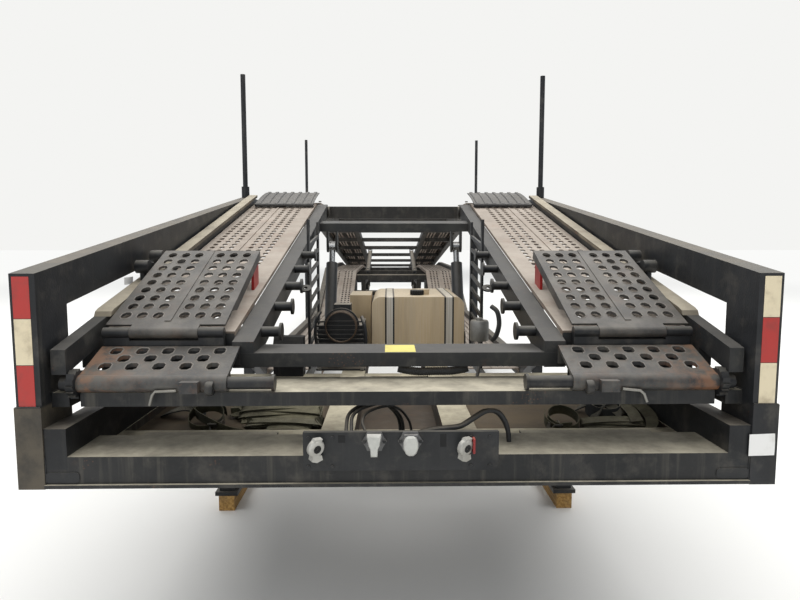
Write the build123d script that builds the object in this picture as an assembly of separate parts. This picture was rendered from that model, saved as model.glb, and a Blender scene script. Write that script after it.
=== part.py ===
# Car transporter semi-trailer, parked without its tractor unit.
# Two runways on an upper deck slope down to the front, lie level in the middle and slope down
# to the tail. A lower deck dips between the neck and the tandem axle and rises over the wheels.
#
# Millimetres, +Z up, the ground at height 0. A station is the distance behind the front face of
# the corner posts. An offset is the distance from the middle plane, and most pieces are made on
# the right hand (+X) and mirrored. The finished pieces move forward by half the length, so that
# the origin is on the ground under the middle of the trailer.

import math
import os

from build123d import *

# Overall
half_width = 1295
tail_station = 16000
rest_gap = 0.3          # seat of a piece that can be lifted off

# Corner posts and the front cross members
post_width = 90
post_depth = 190
post_top = 1450
post_foot = 718
sleeve_plate = 6        # heavier lower part of the corner post
sleeve_top = 1000
beam_bottom = 734
beam_top = 829
beam_depth = 230
beam_lip = 12
ledge_drop = 24
ledge_depth = 110
ledge_inner = 480
ledge_outer = 1000
ledge_plate = 14
sill_bottom = 986
sill_top = 1035
sill_front = 60
sill_back = 290
notch_inner = 1106      # room for the ratchet of a tie-down winch
notch_outer = 1144
notch_back = 190

# Side rails
rail_width = 90
rail_depth = 148
upper_rail_back_top = 1932
upper_rail_bend = 3165
upper_rail_end = 7850
gusset_station = 1000
gusset_length = 260
gusset_drop = 70
gusset_plate = 8
lower_rail_width = 75
lower_rail_depth = 141
lower_rail_above_tread = 60
neck_rail_top = 926
neck_end = 2500

# Lower deck: tread height along the trailer
belly_start = 3300
belly_height = 430
belly_end = 7450
hump_start = 9000
hump_height = 1040
hump_end = 12150
tail_height = 640

# Runways
tread_inner = 635
tread_outer = 1100
tread_plate = 8
tread_flange = 60
tread_rib_width = 30
tread_rib_height = 12
inner_tube_width = 80
inner_tube_depth = 100

# Neck and coupler
spine_inner = 180
spine_outer = 315
spine_bottom = 700
spine_top = 800
cross_depth = 85
cross_width = 80
neck_cross_stations = (380, 1450, 2290)
tray_floor = 745
tray_plate = 6
coupler_half = 420
coupler_front = 240
coupler_back = 1150
coupler_plate = 12
pin_station = 700
pin_radius = 25.4
pin_neck_radius = 36.5
pin_neck = 13
pin_length = 84

# Landing legs on their timbers
leg_station = 1450
leg_offset = 985
leg_outer = 110
leg_inner = 88
leg_split = 420
leg_shaft_radius = 14
leg_shaft_rise = 60
foot_size = 130
foot_height = 22
timber_side = 89
timber_length = 420
timber_gap = 0.3

# Front deck
front_pivot_station = 3060
front_pivot_height = 1805
ramp_start = 300
ramp_start_height = 1212
ramp_end_height = 1888
ramp_tube_drop = 20
ramp_front = 250
outer_tube_inner = 1140
outer_tube_outer = 1190
outer_tube_front = 40
outer_tube_rise = 40
outer_tube_depth = 85
outer_tube_end = 3040
web_start = 620
web_drop = 20
web_depth = 36
strip_inner = 1124
strip_outer = 1190
strip_start = 352
strip_plate = 20
strip_nose = 34
strip_round = 4
front_tube_front = 248
front_tube_back = 450
front_tube_bottom = 1084
front_tube_top = 1137
front_tube_foot = 90
pivot_pin_radius = 20
pivot_play = 0.05
pivot_eye_radius = 48
pivot_eye_clear = 15
lug_plate = 14
lug_play = 5

# Lip in front of the flaps
lip_inner = 600
lip_outer = 1112
nose_station = 70
nose_radius = 30
lip_plate = 14
lip_top_station = 246
lip_top_height = 1165
lip_back_drop = 70
lip_back_plate = 12
slot_row_counts = (5, 4, 5)
slot_side = 42
slot_corner = 10
slot_pitch = 95
slot_row_pitch = 48
slot_row_first = 48
latch_offset = 720
latch_width = 62
latch_front = 12
latch_bottom = 1041
latch_top = 1080

# Flaps folded back onto the ramps
flap_inner = 664
flap_outer = 1115
flap_hinge_station = 270
flap_hinge_height = 1212
flap_length = 727
flap_angle = 22.8
flap_plate = 8
flap_plate_start = 27
flap_edge = 32
flap_edge_start = 150
flap_edge_slope = 60
knuckle_radius = 21
knuckle_play = 1.5
hinge_pin_radius = 9
hinge_play = 0.05
flap_knuckle = (0.21, 0.78)     # the flap's own knuckle, as shares of the hinge
carrier_half = 12
carrier_gap = 7
carrier_reach = 8
carrier_inset = 3
hole_rows = 9
hole_columns = 3
hole_across = 38
hole_along = 48
hole_corner = 0.42
hole_pitch = 62
hole_first = 0.62
hole_row_pitch = 72
first_hole_row = 92
middle_rib = 24
middle_rib_height = 3
middle_rib_start = 51
prop_thickness = 12
prop_length = 110
prop_back = 60

# Tie-down gear on the front deck
peg_radius = 21
peg_reach = 72
peg_flange_radius = 36
peg_flange = 10
peg_first = 405
peg_pitch = 290
peg_count = 5
peg_drop = 22
outer_peg_stations = (760, 935)
outer_peg_height = 58
outer_peg_radius = 15
outer_peg_head = 30
outer_peg_inset = 4
stub_radius = 22
stub_inner = 437
stub_flange_radius = 29
stub_flange = 10
ratchet_radius = 52
ratchet_teeth = 14
tooth_depth = 8
ratchet_width = 26
capstan_radius = 25
capstan_length = 34

# Bridge plates over the joint of the front deck and the platform
bridge_front = 2790
bridge_back = 3250
bridge_rise = 28
bridge_inset = 4
bridge_foot = 60
bridge_back_height = 1978
bridge_plate = 14
bridge_ribs = 6
bridge_rib_width = 26
bridge_rib_height = 22

# Platform
platform_top = 1900
platform_flange = 45
platform_start = 3330
platform_end = 7850
upper_cross_stations = (3160, 4300, 5500, 6700, 7790)
upper_cross_depth = 100
upper_cross_width = 100
pole_radius = 20
pole_stations = (3165, 7000)
pole_tops = (2940, 3050)
pole_socket_radius = 32
pole_socket_height = 90
side_post_depth = 110
side_post_stations = (3165, 7000)

# Rear deck
rear_pivot_station = 7935
rear_pivot_height = 1800
rear_deck_start = 7900
rear_deck_end = 15900
rear_deck_depth = 110
rear_strip_outer = 1186
rear_side_back = 60
rear_runway_back = 100
rear_cross_width = 70
rear_cross_stations = (8350, 9500, 10700, 12000, 13300, 14600, 15750)
rear_pad = 20
pad_length = 120

# Lift cylinders: foot and rod eye as station and height
front_foot = (neck_cross_stations[2], 880)
front_eye = (2560, 1520)
rear_foot = (9050, 1030)
rear_eye = (10600, 1376)
front_lift_offset = 466
rear_lift_offset = 430
front_stroke = 150
rear_stroke = 180
barrel_radius = 42
rod_radius = 22
eye_radius = 40
eye_width = 44
eye_pin_radius = 15
eye_play = 0.05
eye_neck = 8
rod_show = 92
rod_play = 0.05
rod_bottom_gap = 10
open_eye_play = 12
front_bar_depth = 60
front_bar_half = 45
rear_bar_depth = 50
clevis_plate = 14
clevis_play = 5

# Lock ladders beside the front deck
ladder_offset = 525
ladder_plate = 14
ladder_stations = (1650, 2130)
ladder_rail = 46
ladder_top = 1690
ladder_foot_depth = 60
ladder_rungs = 9
ladder_rung = 22
ladder_rung_rise = 60
ladder_first_rung = 40
ladder_top_rung = 120

# Tank and power unit
tank_middle = 137
tank_width = 565
tank_front = 1650
tank_back = 2330
tank_top = 1222
tank_round = 55
tank_strap_offsets = (-75, 345)
strap_width = 34
strap_plate = 4
cap_radius = 46
cap_height = 34
cap_offset = 35
cap_back = 200
strap_tail = 10
side_box = (-300, -160, 1980, 2330, 1205)       # two offsets, two stations, top
unit_base = (-470, -180, 1500, 1930)            # two offsets, two stations
unit_base_plate = 12
engine = (-460, -190, 1560, 1900, 250)          # two offsets, two stations, height
drum_radius = 92
drum_place = (-318, 1068)
drum_depth = 70
drum_ring = 12
header = (-372, -270, 1600, 1720, 120)          # two offsets, two stations, height
guard = (-705, -535, 1415, 1520, 225)           # two offsets, two stations, height
guard_shoulder = 0.8
guard_slope = 30

# Axles and wheels
axle_stations = (9750, 11050)
tyre_radius = 464
tyre_width = 252
tyre_bead_inset = 22
tyre_side_low = 60
tyre_side_high = 70
tyre_shoulder_drop = 12
tyre_shoulder_inset = 40
tyre_middles = (1168, 878)
rim_radius = 286
rim_wall = 12
axle_radius = 63
axle_beam_inset = 20
spindle_radius = 40
spindle_inset = 90
spindle_play = 0.05
hub_radius = 120
hub_inset = 40
disc_plate = 16
hand_holes = 8
hand_hole_radius = 26
hand_hole_circle = 205
drum_brake_radius = 205
drum_brake_width = 150
drum_brake_inset = 30
subframe_inner = 470
subframe_outer = 550
subframe_depth = 110
spring_width = 80
spring_leaf = 14
spring_leaves = 5
leaf_step = 0.15
leaf_inset = 5
hanger_width = 90
hanger_foot = 60
hanger_hook = 30

# Tail
bumper_depth = 110
bumper_height = 120
guard_height = 470
guard_depth = 90
guard_half = 1150
guard_inset = 10
guard_drop_width = 70
guard_drop_offset = 700
guard_drop_inset = 20
lamp_radius = 52
lamp_depth = 26
lamp_offsets = (760, 900, 1040)
mud_flap = (760, 1280, 11640, 280)
mud_flap_plate = 8

# Connector panel
panel_half = 330
panel_bottom = 754
panel_top = 931
panel_plate = 6
panel_front = -26
panel_lip = 60
coupling_offsets = (-282, 214)
coupling_height = 874
coupling_shank = (16, 30)           # radius and length
coupling_head = (32, 24)            # radius and length
coupling_tongue = (14, 52, 55)      # half width, reach and drop
socket_offsets = (-90, 31)
socket_height = 890
socket_flange = (42, 34, 8)         # half width, half height and thickness
socket_barrel = (31, 44)            # radius and length
socket_cover = (36, 38, 10)         # half width, drop and thickness

node_solids = {}


def put(name, *solids):
    """Keep the solids of one piece under its name."""
    flat = []
    for item in solids:
        flat.extend(item if isinstance(item, (list, tuple)) else [item])
    node_solids.setdefault(name, []).extend(flat)


def both(*solids):
    """The solids and their mirror images on the left hand."""
    flat = []
    for item in solids:
        flat.extend(item if isinstance(item, (list, tuple)) else [item])
    return flat + [mirror(item, about=Plane.YZ) for item in flat]


def block(x0, x1, s0, s1, h0, h1):
    """A straight block between two offsets, stations and heights."""
    middle = ((x0 + x1) / 2, (s0 + s1) / 2, (h0 + h1) / 2)
    return Pos(*middle) * Box(abs(x1 - x0), abs(s1 - s0), abs(h1 - h0))


def slab(outline, x0, x1):
    """A piece with one outline of (station, height) points between two offsets."""
    face = make_face(Polyline(*outline, close=True))
    return extrude(Plane.YZ.offset(x0) * face, amount=x1 - x0)


def strip(path, x0, x1, drop, depth):
    """A beam or plate that follows a path of (station, height) points, some way below it."""
    top = [(s, h - drop) for s, h in path]
    bottom = [(s, h - drop - depth) for s, h in reversed(path)]
    return slab(top + bottom, x0, x1)


def bar(radius, x0, x1, station, height):
    """A round bar across the trailer."""
    return Pos((x0 + x1) / 2, station, height) * Rot(0, 90, 0) * Cylinder(radius, abs(x1 - x0))


def upright(radius, x, station, h0, h1):
    """A round upright."""
    return Pos(x, station, (h0 + h1) / 2) * Cylinder(radius, h1 - h0)


def inclined(radius, x, start, end):
    """A round bar in a plane along the trailer, between two (station, height) points."""
    run = Vector(0, end[0] - start[0], end[1] - start[1])
    base = Plane(origin=(x, start[0], start[1]), z_dir=run)
    return base * Pos(0, 0, run.length / 2) * Cylinder(radius, run.length)


def facing(size, x, back, height):
    """A round piece of some radius and length that stands forward of a station."""
    radius, length = size
    return Pos(x, back - length / 2, height) * Rot(90, 0, 0) * Cylinder(radius, length)


def fuse(first, *others):
    """One solid from pieces that are welded together."""
    return first.fuse(*others) if others else first


def height_on(path, station):
    """The height of a path of (station, height) points at a station."""
    for (s0, h0), (s1, h1) in zip(path, path[1:]):
        if station <= s1:
            return h0 + (h1 - h0) * (station - s0) / (s1 - s0)
    return path[-1][1]


def part_of(path, s0, s1):
    """The stretch of a path between two stations."""
    inside = [(s, h) for s, h in path if s0 < s < s1]
    return [(s0, height_on(path, s0))] + inside + [(s1, height_on(path, s1))]


post_inner = half_width - post_width
rail_outer = half_width - sleeve_plate
lower_rail_inner = post_inner - lower_rail_width
inner_tube_outer = tread_inner - 5
inner_tube_inner = inner_tube_outer - inner_tube_width

lower_deck = [(belly_start, belly_height), (belly_end, belly_height), (hump_start, hump_height),
              (hump_end, hump_height), (tail_station, tail_height)]
lower_rail_path = [(0, neck_rail_top), (neck_end, neck_rail_top)]
lower_rail_path += [(s, h + lower_rail_above_tread) for s, h in lower_deck]
upper_rail_path = [(0, post_top), (upper_rail_bend, upper_rail_back_top),
                   (upper_rail_end, upper_rail_back_top)]
ramp_path = [(ramp_start, ramp_start_height), (front_pivot_station, ramp_end_height)]
ramp_slope = (ramp_end_height - ramp_start_height) / (front_pivot_station - ramp_start)
rear_tip = (height_on(lower_rail_path, rear_deck_end) + rest_gap + rear_pad + rear_deck_depth)
rear_path = [(rear_deck_start, platform_top), (rear_deck_end, rear_tip)]


def ramp_at(station):
    """The tread height of the front ramp, also just outside its ends."""
    return ramp_start_height + ramp_slope * (station - ramp_start)


def runway(path, x0, x1, flange):
    """A runway: a plate with a folded edge on both sides and a raised rib along its middle."""
    plate = strip(path, x0, x1, 0, tread_plate)
    inner = strip(path, x0, x0 + tread_plate, tread_plate, flange - tread_plate)
    outer = strip(path, x1 - tread_plate, x1, tread_plate, flange - tread_plate)
    middle = (x0 + x1) / 2
    half = tread_rib_width / 2
    rib = strip(path, middle - half, middle + half, -tread_rib_height, tread_rib_height)
    return fuse(plate, inner, outer, rib)


def corner_posts():
    """Box posts at the front corners, with sloped tops and a heavier lower part."""
    outline = [(0, post_foot), (post_depth, post_foot),
               (post_depth, height_on(upper_rail_path, post_depth)), (0, post_top)]
    post = slab(outline, post_inner, rail_outer)
    sleeve = block(post_inner, half_width, -sleeve_plate, post_depth, post_foot, sleeve_top)
    put("corner_posts", both(fuse(post, sleeve)))


def front_beam():
    """The lower front cross member, with a bottom lip and lower ledges behind it."""
    under_rail = neck_rail_top - lower_rail_depth
    low = block(-post_inner, post_inner, 0, beam_depth, beam_bottom, under_rail)
    high = block(-lower_rail_inner, lower_rail_inner, 0, beam_depth, under_rail, beam_top)
    lip = block(-post_inner, post_inner, -beam_lip, beam_depth, beam_bottom - beam_lip, beam_bottom)
    whole = fuse(low, high, lip)
    ledge_top = beam_top - ledge_drop
    for side in (-1, 1):
        whole += block(side * ledge_inner, side * ledge_outer, beam_depth,
                       beam_depth + ledge_depth, ledge_top - ledge_plate, ledge_top)
    put("front_beam", whole)


def front_sill():
    """The flat cross beam between the posts that carries the nose of the front deck."""
    sill = block(-post_inner, post_inner, sill_front, sill_back, sill_bottom, sill_top)
    for side in (-1, 1):
        sill -= block(side * notch_inner, side * notch_outer, sill_front - 1, notch_back,
                      sill_bottom - 1, sill_top + 1)
    put("front_sill", sill)


def side_rails():
    """Upper side rails from the corner posts back, and lower side rails over the whole length."""
    upper = strip(part_of(upper_rail_path, post_depth, upper_rail_end), post_inner, rail_outer, 0, rail_depth)
    station = gusset_station
    top = height_on(upper_rail_path, station) - rail_depth
    far_top = height_on(upper_rail_path, station + gusset_length) - rail_depth
    low = (station + gusset_length / 2, top - gusset_drop)
    gusset = slab([(station, top), (station + gusset_length, far_top), low],
                  post_inner + rail_width / 2, post_inner + rail_width / 2 + gusset_plate)
    put("upper_side_rails", both(fuse(upper, gusset)))
    lower = strip(lower_rail_path, lower_rail_inner, post_inner, 0, lower_rail_depth)
    pad_start = rear_deck_end - pad_length
    rail = part_of(lower_rail_path, pad_start, rear_deck_end)
    deck = part_of(rear_path, pad_start, rear_deck_end)
    under = rear_deck_depth + rest_gap
    pad = slab(rail + [(s, h - under) for s, h in reversed(deck)], lower_rail_inner, rear_strip_outer)
    put("lower_side_rails", both(fuse(lower, pad)))
    for station in side_post_stations:
        s0, s1 = station - side_post_depth / 2, station + side_post_depth / 2
        foot = height_on(lower_rail_path, station) - lower_rail_depth
        head = height_on(upper_rail_path, s0) - rail_depth
        outline = [(s0, foot), (s1, foot), (s1, height_on(upper_rail_path, s1) - rail_depth)]
        if s0 < upper_rail_bend < s1:
            outline += [(upper_rail_bend, upper_rail_back_top - rail_depth)]
        put("side_posts", both(slab(outline + [(s0, head)], post_inner, rail_outer)))


def neck():
    """The neck: two spine rails, cross members, strap trays and the coupler under it."""
    cross_top = spine_bottom + cross_depth
    half = cross_width / 2
    rails = [block(side * spine_inner, side * spine_outer, beam_depth, neck_end, spine_bottom, spine_top)
             for side in (-1, 1)]
    crosses = [block(-post_inner, post_inner, s - half, s + half, spine_bottom, cross_top)
               for s in neck_cross_stations]
    s0, s1 = neck_cross_stations[0] + half, neck_cross_stations[1] - half
    tray = block(spine_outer, lower_rail_inner, s0, s1, tray_floor, cross_top)
    hollow = block(spine_outer + tray_plate, lower_rail_inner - tray_plate,
                   s0 + tray_plate, s1 - tray_plate, tray_floor + tray_plate, cross_top)
    trays = both(tray - hollow)
    put("neck_frame", fuse(*rails, *crosses, *trays))
    plate_bottom = spine_bottom - coupler_plate
    plate = block(-coupler_half, coupler_half, coupler_front, coupler_back, plate_bottom, spine_bottom)
    seat = upright(pin_neck_radius, 0, pin_station, plate_bottom - pin_neck, plate_bottom)
    pin_end = plate_bottom - pin_length
    head = upright(pin_neck_radius, 0, pin_station, pin_end, pin_end + pin_neck)
    pin = upright(pin_radius, 0, pin_station, pin_end, plate_bottom)
    put("coupler", fuse(plate, seat, pin, head))


def landing_legs():
    """Two telescopic legs under the neck, each with its foot on a timber."""
    foot_bottom = timber_side + timber_gap
    legs = [bar(leg_shaft_radius, -leg_offset, leg_offset, leg_station, leg_split + leg_shaft_rise)]
    for side in (-1, 1):
        x = side * leg_offset
        outer = leg_outer / 2
        inner = leg_inner / 2
        tube = block(x - outer, x + outer, leg_station - outer, leg_station + outer, leg_split, spine_bottom)
        ram = block(x - inner, x + inner, leg_station - inner, leg_station + inner,
                    foot_bottom + foot_height, leg_split)
        half = foot_size / 2
        foot = block(x - half, x + half, leg_station - half, leg_station + half,
                     foot_bottom, foot_bottom + foot_height)
        legs += [tube, ram, foot]
        s0 = leg_station - half
        timber = block(x - timber_side / 2, x + timber_side / 2, s0, s0 + timber_length, 0, timber_side)
        put("timber_blocks", timber)
    put("landing_legs", fuse(*legs))


def lower_deck_pieces():
    """Lower runways, their cross members and the subframe over the axles."""
    path = part_of(lower_deck, belly_start, tail_station - bumper_depth)
    put("lower_runways", both(runway(path, tread_inner, lower_rail_inner, tread_flange)))
    half = cross_width / 2
    stations = (belly_start + half, 4700, 6100, belly_end, hump_start, sum(axle_stations) / 2,
                hump_end, 13400, 14700)
    for station in stations:
        bottom = tread_flange + cross_depth
        piece = strip(part_of(lower_deck, station - half, station + half),
                      -lower_rail_inner, lower_rail_inner, tread_flange, bottom - tread_flange)
        put("lower_cross_members", piece)


def suspension():
    """Leaf springs on hangers under the subframe, and the two axle beams with their brake drums."""
    frame_top = hump_height - tread_flange - cross_depth
    frame_bottom = frame_top - subframe_depth
    middle = (subframe_inner + subframe_outer) / 2
    x0, x1 = middle - spring_width / 2, middle + spring_width / 2
    centre = tyre_radius
    axle_top = centre + axle_radius
    spring_top = axle_top + spring_leaves * spring_leaf
    half_spacing = (axle_stations[1] - axle_stations[0]) / 2
    top_half, foot_half = hanger_width / 2, hanger_foot / 2
    rail = block(subframe_inner, subframe_outer, hump_start, hump_end, frame_bottom, frame_top)
    hangers = []
    for number in (-1, 1, 3):
        station = axle_stations[0] + number * half_spacing
        hangers.append(slab([(station - top_half, frame_bottom), (station + top_half, frame_bottom),
                             (station + foot_half, spring_top - hanger_hook),
                             (station - foot_half, spring_top - hanger_hook)], x0, x1))
    put("subframe", both(fuse(rail, *hangers)))
    hook_half = foot_half + (top_half - foot_half) * hanger_hook / (frame_bottom - spring_top + hanger_hook)
    longest = half_spacing - hook_half - rest_gap
    for station in axle_stations:
        stack = []
        for leaf in range(spring_leaves):
            reach = longest * (1 - leaf_step * leaf)
            high = spring_top - leaf * spring_leaf
            stack.append(block(x0 + leaf_inset, x1 - leaf_inset, station - reach, station + reach,
                               high - spring_leaf, high))
        put("leaf_springs", both(fuse(*stack)))
    inner_edge = tyre_middles[1] - tyre_width / 2
    beam_half = inner_edge - axle_beam_inset
    for station in axle_stations:
        beam = bar(axle_radius, -beam_half, beam_half, station, centre)
        stubs = [bar(spindle_radius, side * beam_half, side * (half_width - spindle_inset), station, centre)
                 for side in (-1, 1)]
        put("axles", fuse(beam, *stubs))


def tyre_ring():
    """A tyre about the Y axis, from its bead over the side wall to the tread."""
    wall = tyre_width / 2
    half = [(rim_radius, wall - tyre_bead_inset), (rim_radius + tyre_side_low, wall),
            (tyre_radius - tyre_side_high, wall), (tyre_radius - tyre_shoulder_drop, wall - tyre_bead_inset),
            (tyre_radius, wall - tyre_shoulder_inset)]
    profile = half + [(r, -a) for r, a in reversed(half)]
    return revolve(make_face(Polyline(*profile, close=True)), axis=Axis.Y)


def wheel(side):
    """A twin wheel on its hub, at the middle of its axle: two tyres, and the rims with the hub."""
    rim_half = tyre_width / 2 - tyre_bead_inset
    wall = rim_radius - rim_wall
    tyres = [Pos(side * middle, 0, 0) * Rot(0, 0, 90) * tyre_ring() for middle in tyre_middles]
    far = tyre_middles[0] + rim_half
    near = tyre_middles[1] - rim_half
    rim = bar(rim_radius, side * near, side * far, 0, 0) - bar(wall, side * near, side * far, 0, 0)
    inward = (tyre_middles[0] + tyre_middles[1]) / 2
    disc = bar(rim_radius - rim_wall / 2, side * (inward - disc_plate), side * (inward + disc_plate), 0, 0)
    for number in range(hand_holes):
        angle = 2 * math.pi * number / hand_holes
        disc -= bar(hand_hole_radius, side * (inward - 2 * disc_plate), side * (inward + 2 * disc_plate),
                    hand_hole_circle * math.cos(angle), hand_hole_circle * math.sin(angle))
    drum_in = tyre_middles[1] - tyre_width / 2 + drum_brake_inset
    drum = bar(drum_brake_radius, side * drum_in, side * (drum_in + drum_brake_width), 0, 0)
    hub = bar(hub_radius, side * (drum_in + drum_brake_width / 2), side * (half_width - hub_inset), 0, 0)
    core = fuse(rim, disc, hub, drum)
    bore_end = half_width - spindle_inset + 1
    core -= bar(spindle_radius + spindle_play, side * (drum_in - 1), side * bore_end, 0, 0)
    return tyres, core


def wheels():
    """Four twin wheels."""
    for number, station in enumerate(axle_stations, 1):
        for side, hand in ((-1, "left"), (1, "right")):
            tyres, core = wheel(side)
            place = Pos(0, station, tyre_radius)
            put(f"tyres_{number}_{hand}", [place * tyre for tyre in tyres])
            put(f"wheel_{number}_{hand}", place * core)


def front_deck():
    """The front deck: inner and outer tubes, cross tube, pivot eyes, runways and outer strips."""
    tube_path = [(ramp_front, ramp_at(ramp_front)), (front_pivot_station, ramp_end_height)]
    outer_path = [(outer_tube_front, ramp_at(outer_tube_front)), (outer_tube_end, ramp_at(outer_tube_end))]
    web_path = [(web_start, ramp_at(web_start)), (outer_tube_end, ramp_at(outer_tube_end))]
    eye_x0, eye_x1 = inner_tube_inner, inner_tube_outer
    pivot = (front_pivot_station, front_pivot_height)
    hole = bar(pivot_pin_radius + pivot_play, -eye_x1 - 1, eye_x1 + 1, *pivot)
    tube = strip(tube_path, eye_x0, eye_x1, ramp_tube_drop, inner_tube_depth)
    eye = bar(pivot_eye_radius, eye_x0, eye_x1, *pivot)
    outer = strip(outer_path, outer_tube_inner, outer_tube_outer, -outer_tube_rise, outer_tube_depth)
    web = strip(web_path, tread_outer, outer_tube_inner, web_drop, web_depth)
    foot_top = ramp_at(ramp_front) + outer_tube_rise - outer_tube_depth / 2
    foot = block(outer_tube_inner, outer_tube_outer, front_tube_front, front_tube_front + front_tube_foot,
                 front_tube_bottom, foot_top)
    sides = both(fuse(tube, eye) - hole, fuse(outer, web, foot))
    cross = block(-outer_tube_outer, outer_tube_outer, front_tube_front, front_tube_back,
                  front_tube_bottom, front_tube_top)
    bar_s0, bar_s1 = front_eye[0] - front_bar_half, front_eye[0] + front_bar_half
    bar_top = ramp_tube_drop + inner_tube_depth - front_bar_depth
    lift_bar = strip(part_of(ramp_path, bar_s0, bar_s1), -eye_x0, eye_x0, bar_top, front_bar_depth)

    def bar_bottom(station):
        return ramp_at(station) - bar_top - front_bar_depth / 2

    clevises = [clevis(side * front_lift_offset, front_eye, bar_bottom) for side in (-1, 1)]
    put("front_deck_frame", fuse(cross, lift_bar, *sides, *clevises))
    path = part_of(ramp_path, ramp_start, front_pivot_station - pivot_eye_radius - pivot_eye_clear)
    put("front_runways", both(runway(path, inner_tube_outer, tread_outer, tread_flange)))
    low = outer_tube_rise
    high = outer_tube_rise + strip_plate
    outline = []
    for station, rise in ((strip_start, low), (strip_start + strip_nose / 3, high - strip_round),
                          (strip_start + strip_nose, high), (outer_tube_end, high), (outer_tube_end, low)):
        outline.append((station, ramp_at(station) + rise))
    put("outer_strips", both(slab(outline, strip_inner, strip_outer)))


def slot_outline(x, station, side_length, corner):
    """A square with cut corners about a point, seen from above."""
    a, b = side_length / 2, side_length / 2 - corner
    return [(x + a, station - b), (x + a, station + b), (x + b, station + a), (x - b, station + a),
            (x - a, station + b), (x - a, station - b), (x - b, station - a), (x + b, station - a)]


def lip_pieces():
    """The slotted lips in front of the flaps, with their nose bars and latch boxes."""
    nose_height = sill_top + rest_gap + nose_radius
    top = [(nose_station, nose_height + nose_radius), (lip_top_station, lip_top_height)]
    plate = strip(top, lip_inner, lip_outer, 0, lip_plate)
    nose = bar(nose_radius, lip_inner, lip_outer, nose_station, nose_height)
    under = lip_top_height - lip_plate
    back = block(inner_tube_outer, lip_outer, lip_top_station, ramp_start, front_tube_top, under)
    rear = block(lip_inner, lip_outer, front_tube_front - lip_back_plate, front_tube_front,
                 lip_top_height - lip_back_drop, under)
    latch = block(latch_offset - latch_width / 2, latch_offset + latch_width / 2, latch_front, nose_station,
                  latch_bottom, latch_top)
    lip = fuse(plate, nose, back, rear, latch)
    middle = (lip_inner + lip_outer) / 2
    cutters = []
    for row, count in enumerate(slot_row_counts):
        station = nose_station + slot_row_first + row * slot_row_pitch
        for column in range(count):
            x = middle + (column - (count - 1) / 2) * slot_pitch
            outline = slot_outline(x, station, slot_side, slot_corner)
            low = height_on(top, station) - 2 * lip_plate
            face = Pos(0, 0, low) * make_face(Polyline(*outline, close=True))
            cutters.append(extrude(face, amount=3 * lip_plate))
    put("lip_plates", both(lip.cut(*cutters)))


def winches():
    """The tie-down winches on the nose bars: an inner stub with its flange, a ratchet and a capstan."""
    height = sill_top + rest_gap + nose_radius
    stub = bar(stub_radius, stub_inner, lip_inner, nose_station, height)
    flange = bar(stub_flange_radius, stub_inner, stub_inner + stub_flange, nose_station, height)
    points = []
    for tooth in range(ratchet_teeth):
        angle = 2 * math.pi * tooth / ratchet_teeth
        after = angle + 2 * math.pi / ratchet_teeth
        points.append((ratchet_radius * math.cos(angle), ratchet_radius * math.sin(angle)))
        low = ratchet_radius - tooth_depth
        points.append((low * math.cos(after), low * math.sin(after)))
    toothed = extrude(Plane.YZ * make_face(Polyline(*points, close=True)), amount=ratchet_width)
    ratchet = Pos(lip_outer, nose_station, height) * toothed
    capstan = bar(capstan_radius, lip_outer + ratchet_width, lip_outer + ratchet_width + capstan_length,
                  nose_station, height)
    put("tie_down_winches", both(fuse(stub, flange)), both(fuse(ratchet, capstan)))


def knuckle_edges():
    """The offsets where the knuckles of a flap's hinge meet."""
    return [flap_inner + share * (flap_outer - flap_inner) for share in (0, *flap_knuckle, 1)]


def right_flap():
    """A perforated flap folded back over the ramp, with its own knuckle of the hinge."""
    def on_flap(along, up):
        angle = math.radians(flap_angle)
        return (flap_hinge_station + along * math.cos(angle) - up * math.sin(angle),
                flap_hinge_height + along * math.sin(angle) + up * math.cos(angle))

    def sheet(start, end, bottom, top, x0, x1):
        corners = ((start, bottom), (end, bottom), (end, top), (start, top))
        return slab([on_flap(*corner) for corner in corners], x0, x1)

    low = knuckle_radius - flap_plate
    high = knuckle_radius
    plate = sheet(flap_plate_start, flap_length, low, high, flap_inner, flap_outer)
    edge_corners = ((flap_edge_start, low), (flap_edge_start + flap_edge_slope, low - flap_edge),
                    (flap_length, low - flap_edge), (flap_length, low))
    edge_outline = [on_flap(*corner) for corner in edge_corners]
    edges = [slab(edge_outline, flap_inner, flap_inner + flap_plate),
             slab(edge_outline, flap_outer - flap_plate, flap_outer)]
    end = sheet(flap_length - flap_plate, flap_length, low - flap_edge, low, flap_inner, flap_outer)
    middle = (flap_inner + flap_outer) / 2
    rib = sheet(middle_rib_start, flap_length, high, high + middle_rib_height,
                middle - middle_rib / 2, middle + middle_rib / 2)
    body = fuse(plate, end, rib, *edges)
    cutters = []
    a, b = hole_across / 2, hole_along / 2 * math.cos(math.radians(flap_angle))
    corners = [(a, b * hole_corner), (a * hole_corner, b), (-a * hole_corner, b), (-a, b * hole_corner),
               (-a, -b * hole_corner), (-a * hole_corner, -b), (a * hole_corner, -b), (a, -b * hole_corner)]
    for row in range(hole_rows):
        station, height = on_flap(first_hole_row + row * hole_row_pitch, low)
        for column in range(hole_columns):
            for hand in (-1, 1):
                x = middle + hand * (middle_rib / 2 + hole_pitch * (column + hole_first))
                cutter = make_face(Polyline(*[(x + p, station + q) for p, q in corners], close=True))
                cutters.append(extrude(Pos(0, 0, height - flap_edge) * cutter, amount=2 * flap_edge))
    body = body.cut(*cutters)
    edge = knuckle_edges()
    x0, x1 = edge[1] + knuckle_play / 2, edge[2] - knuckle_play / 2
    knuckle = bar(knuckle_radius, x0, x1, flap_hinge_station, flap_hinge_height)
    leaf = sheet(0, flap_plate_start + 1, low, high, x0, x1)
    body = fuse(body, fuse(knuckle, leaf))
    return body - bar(hinge_pin_radius + hinge_play, flap_inner - 1, flap_outer + 1,
                      flap_hinge_station, flap_hinge_height)


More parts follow.
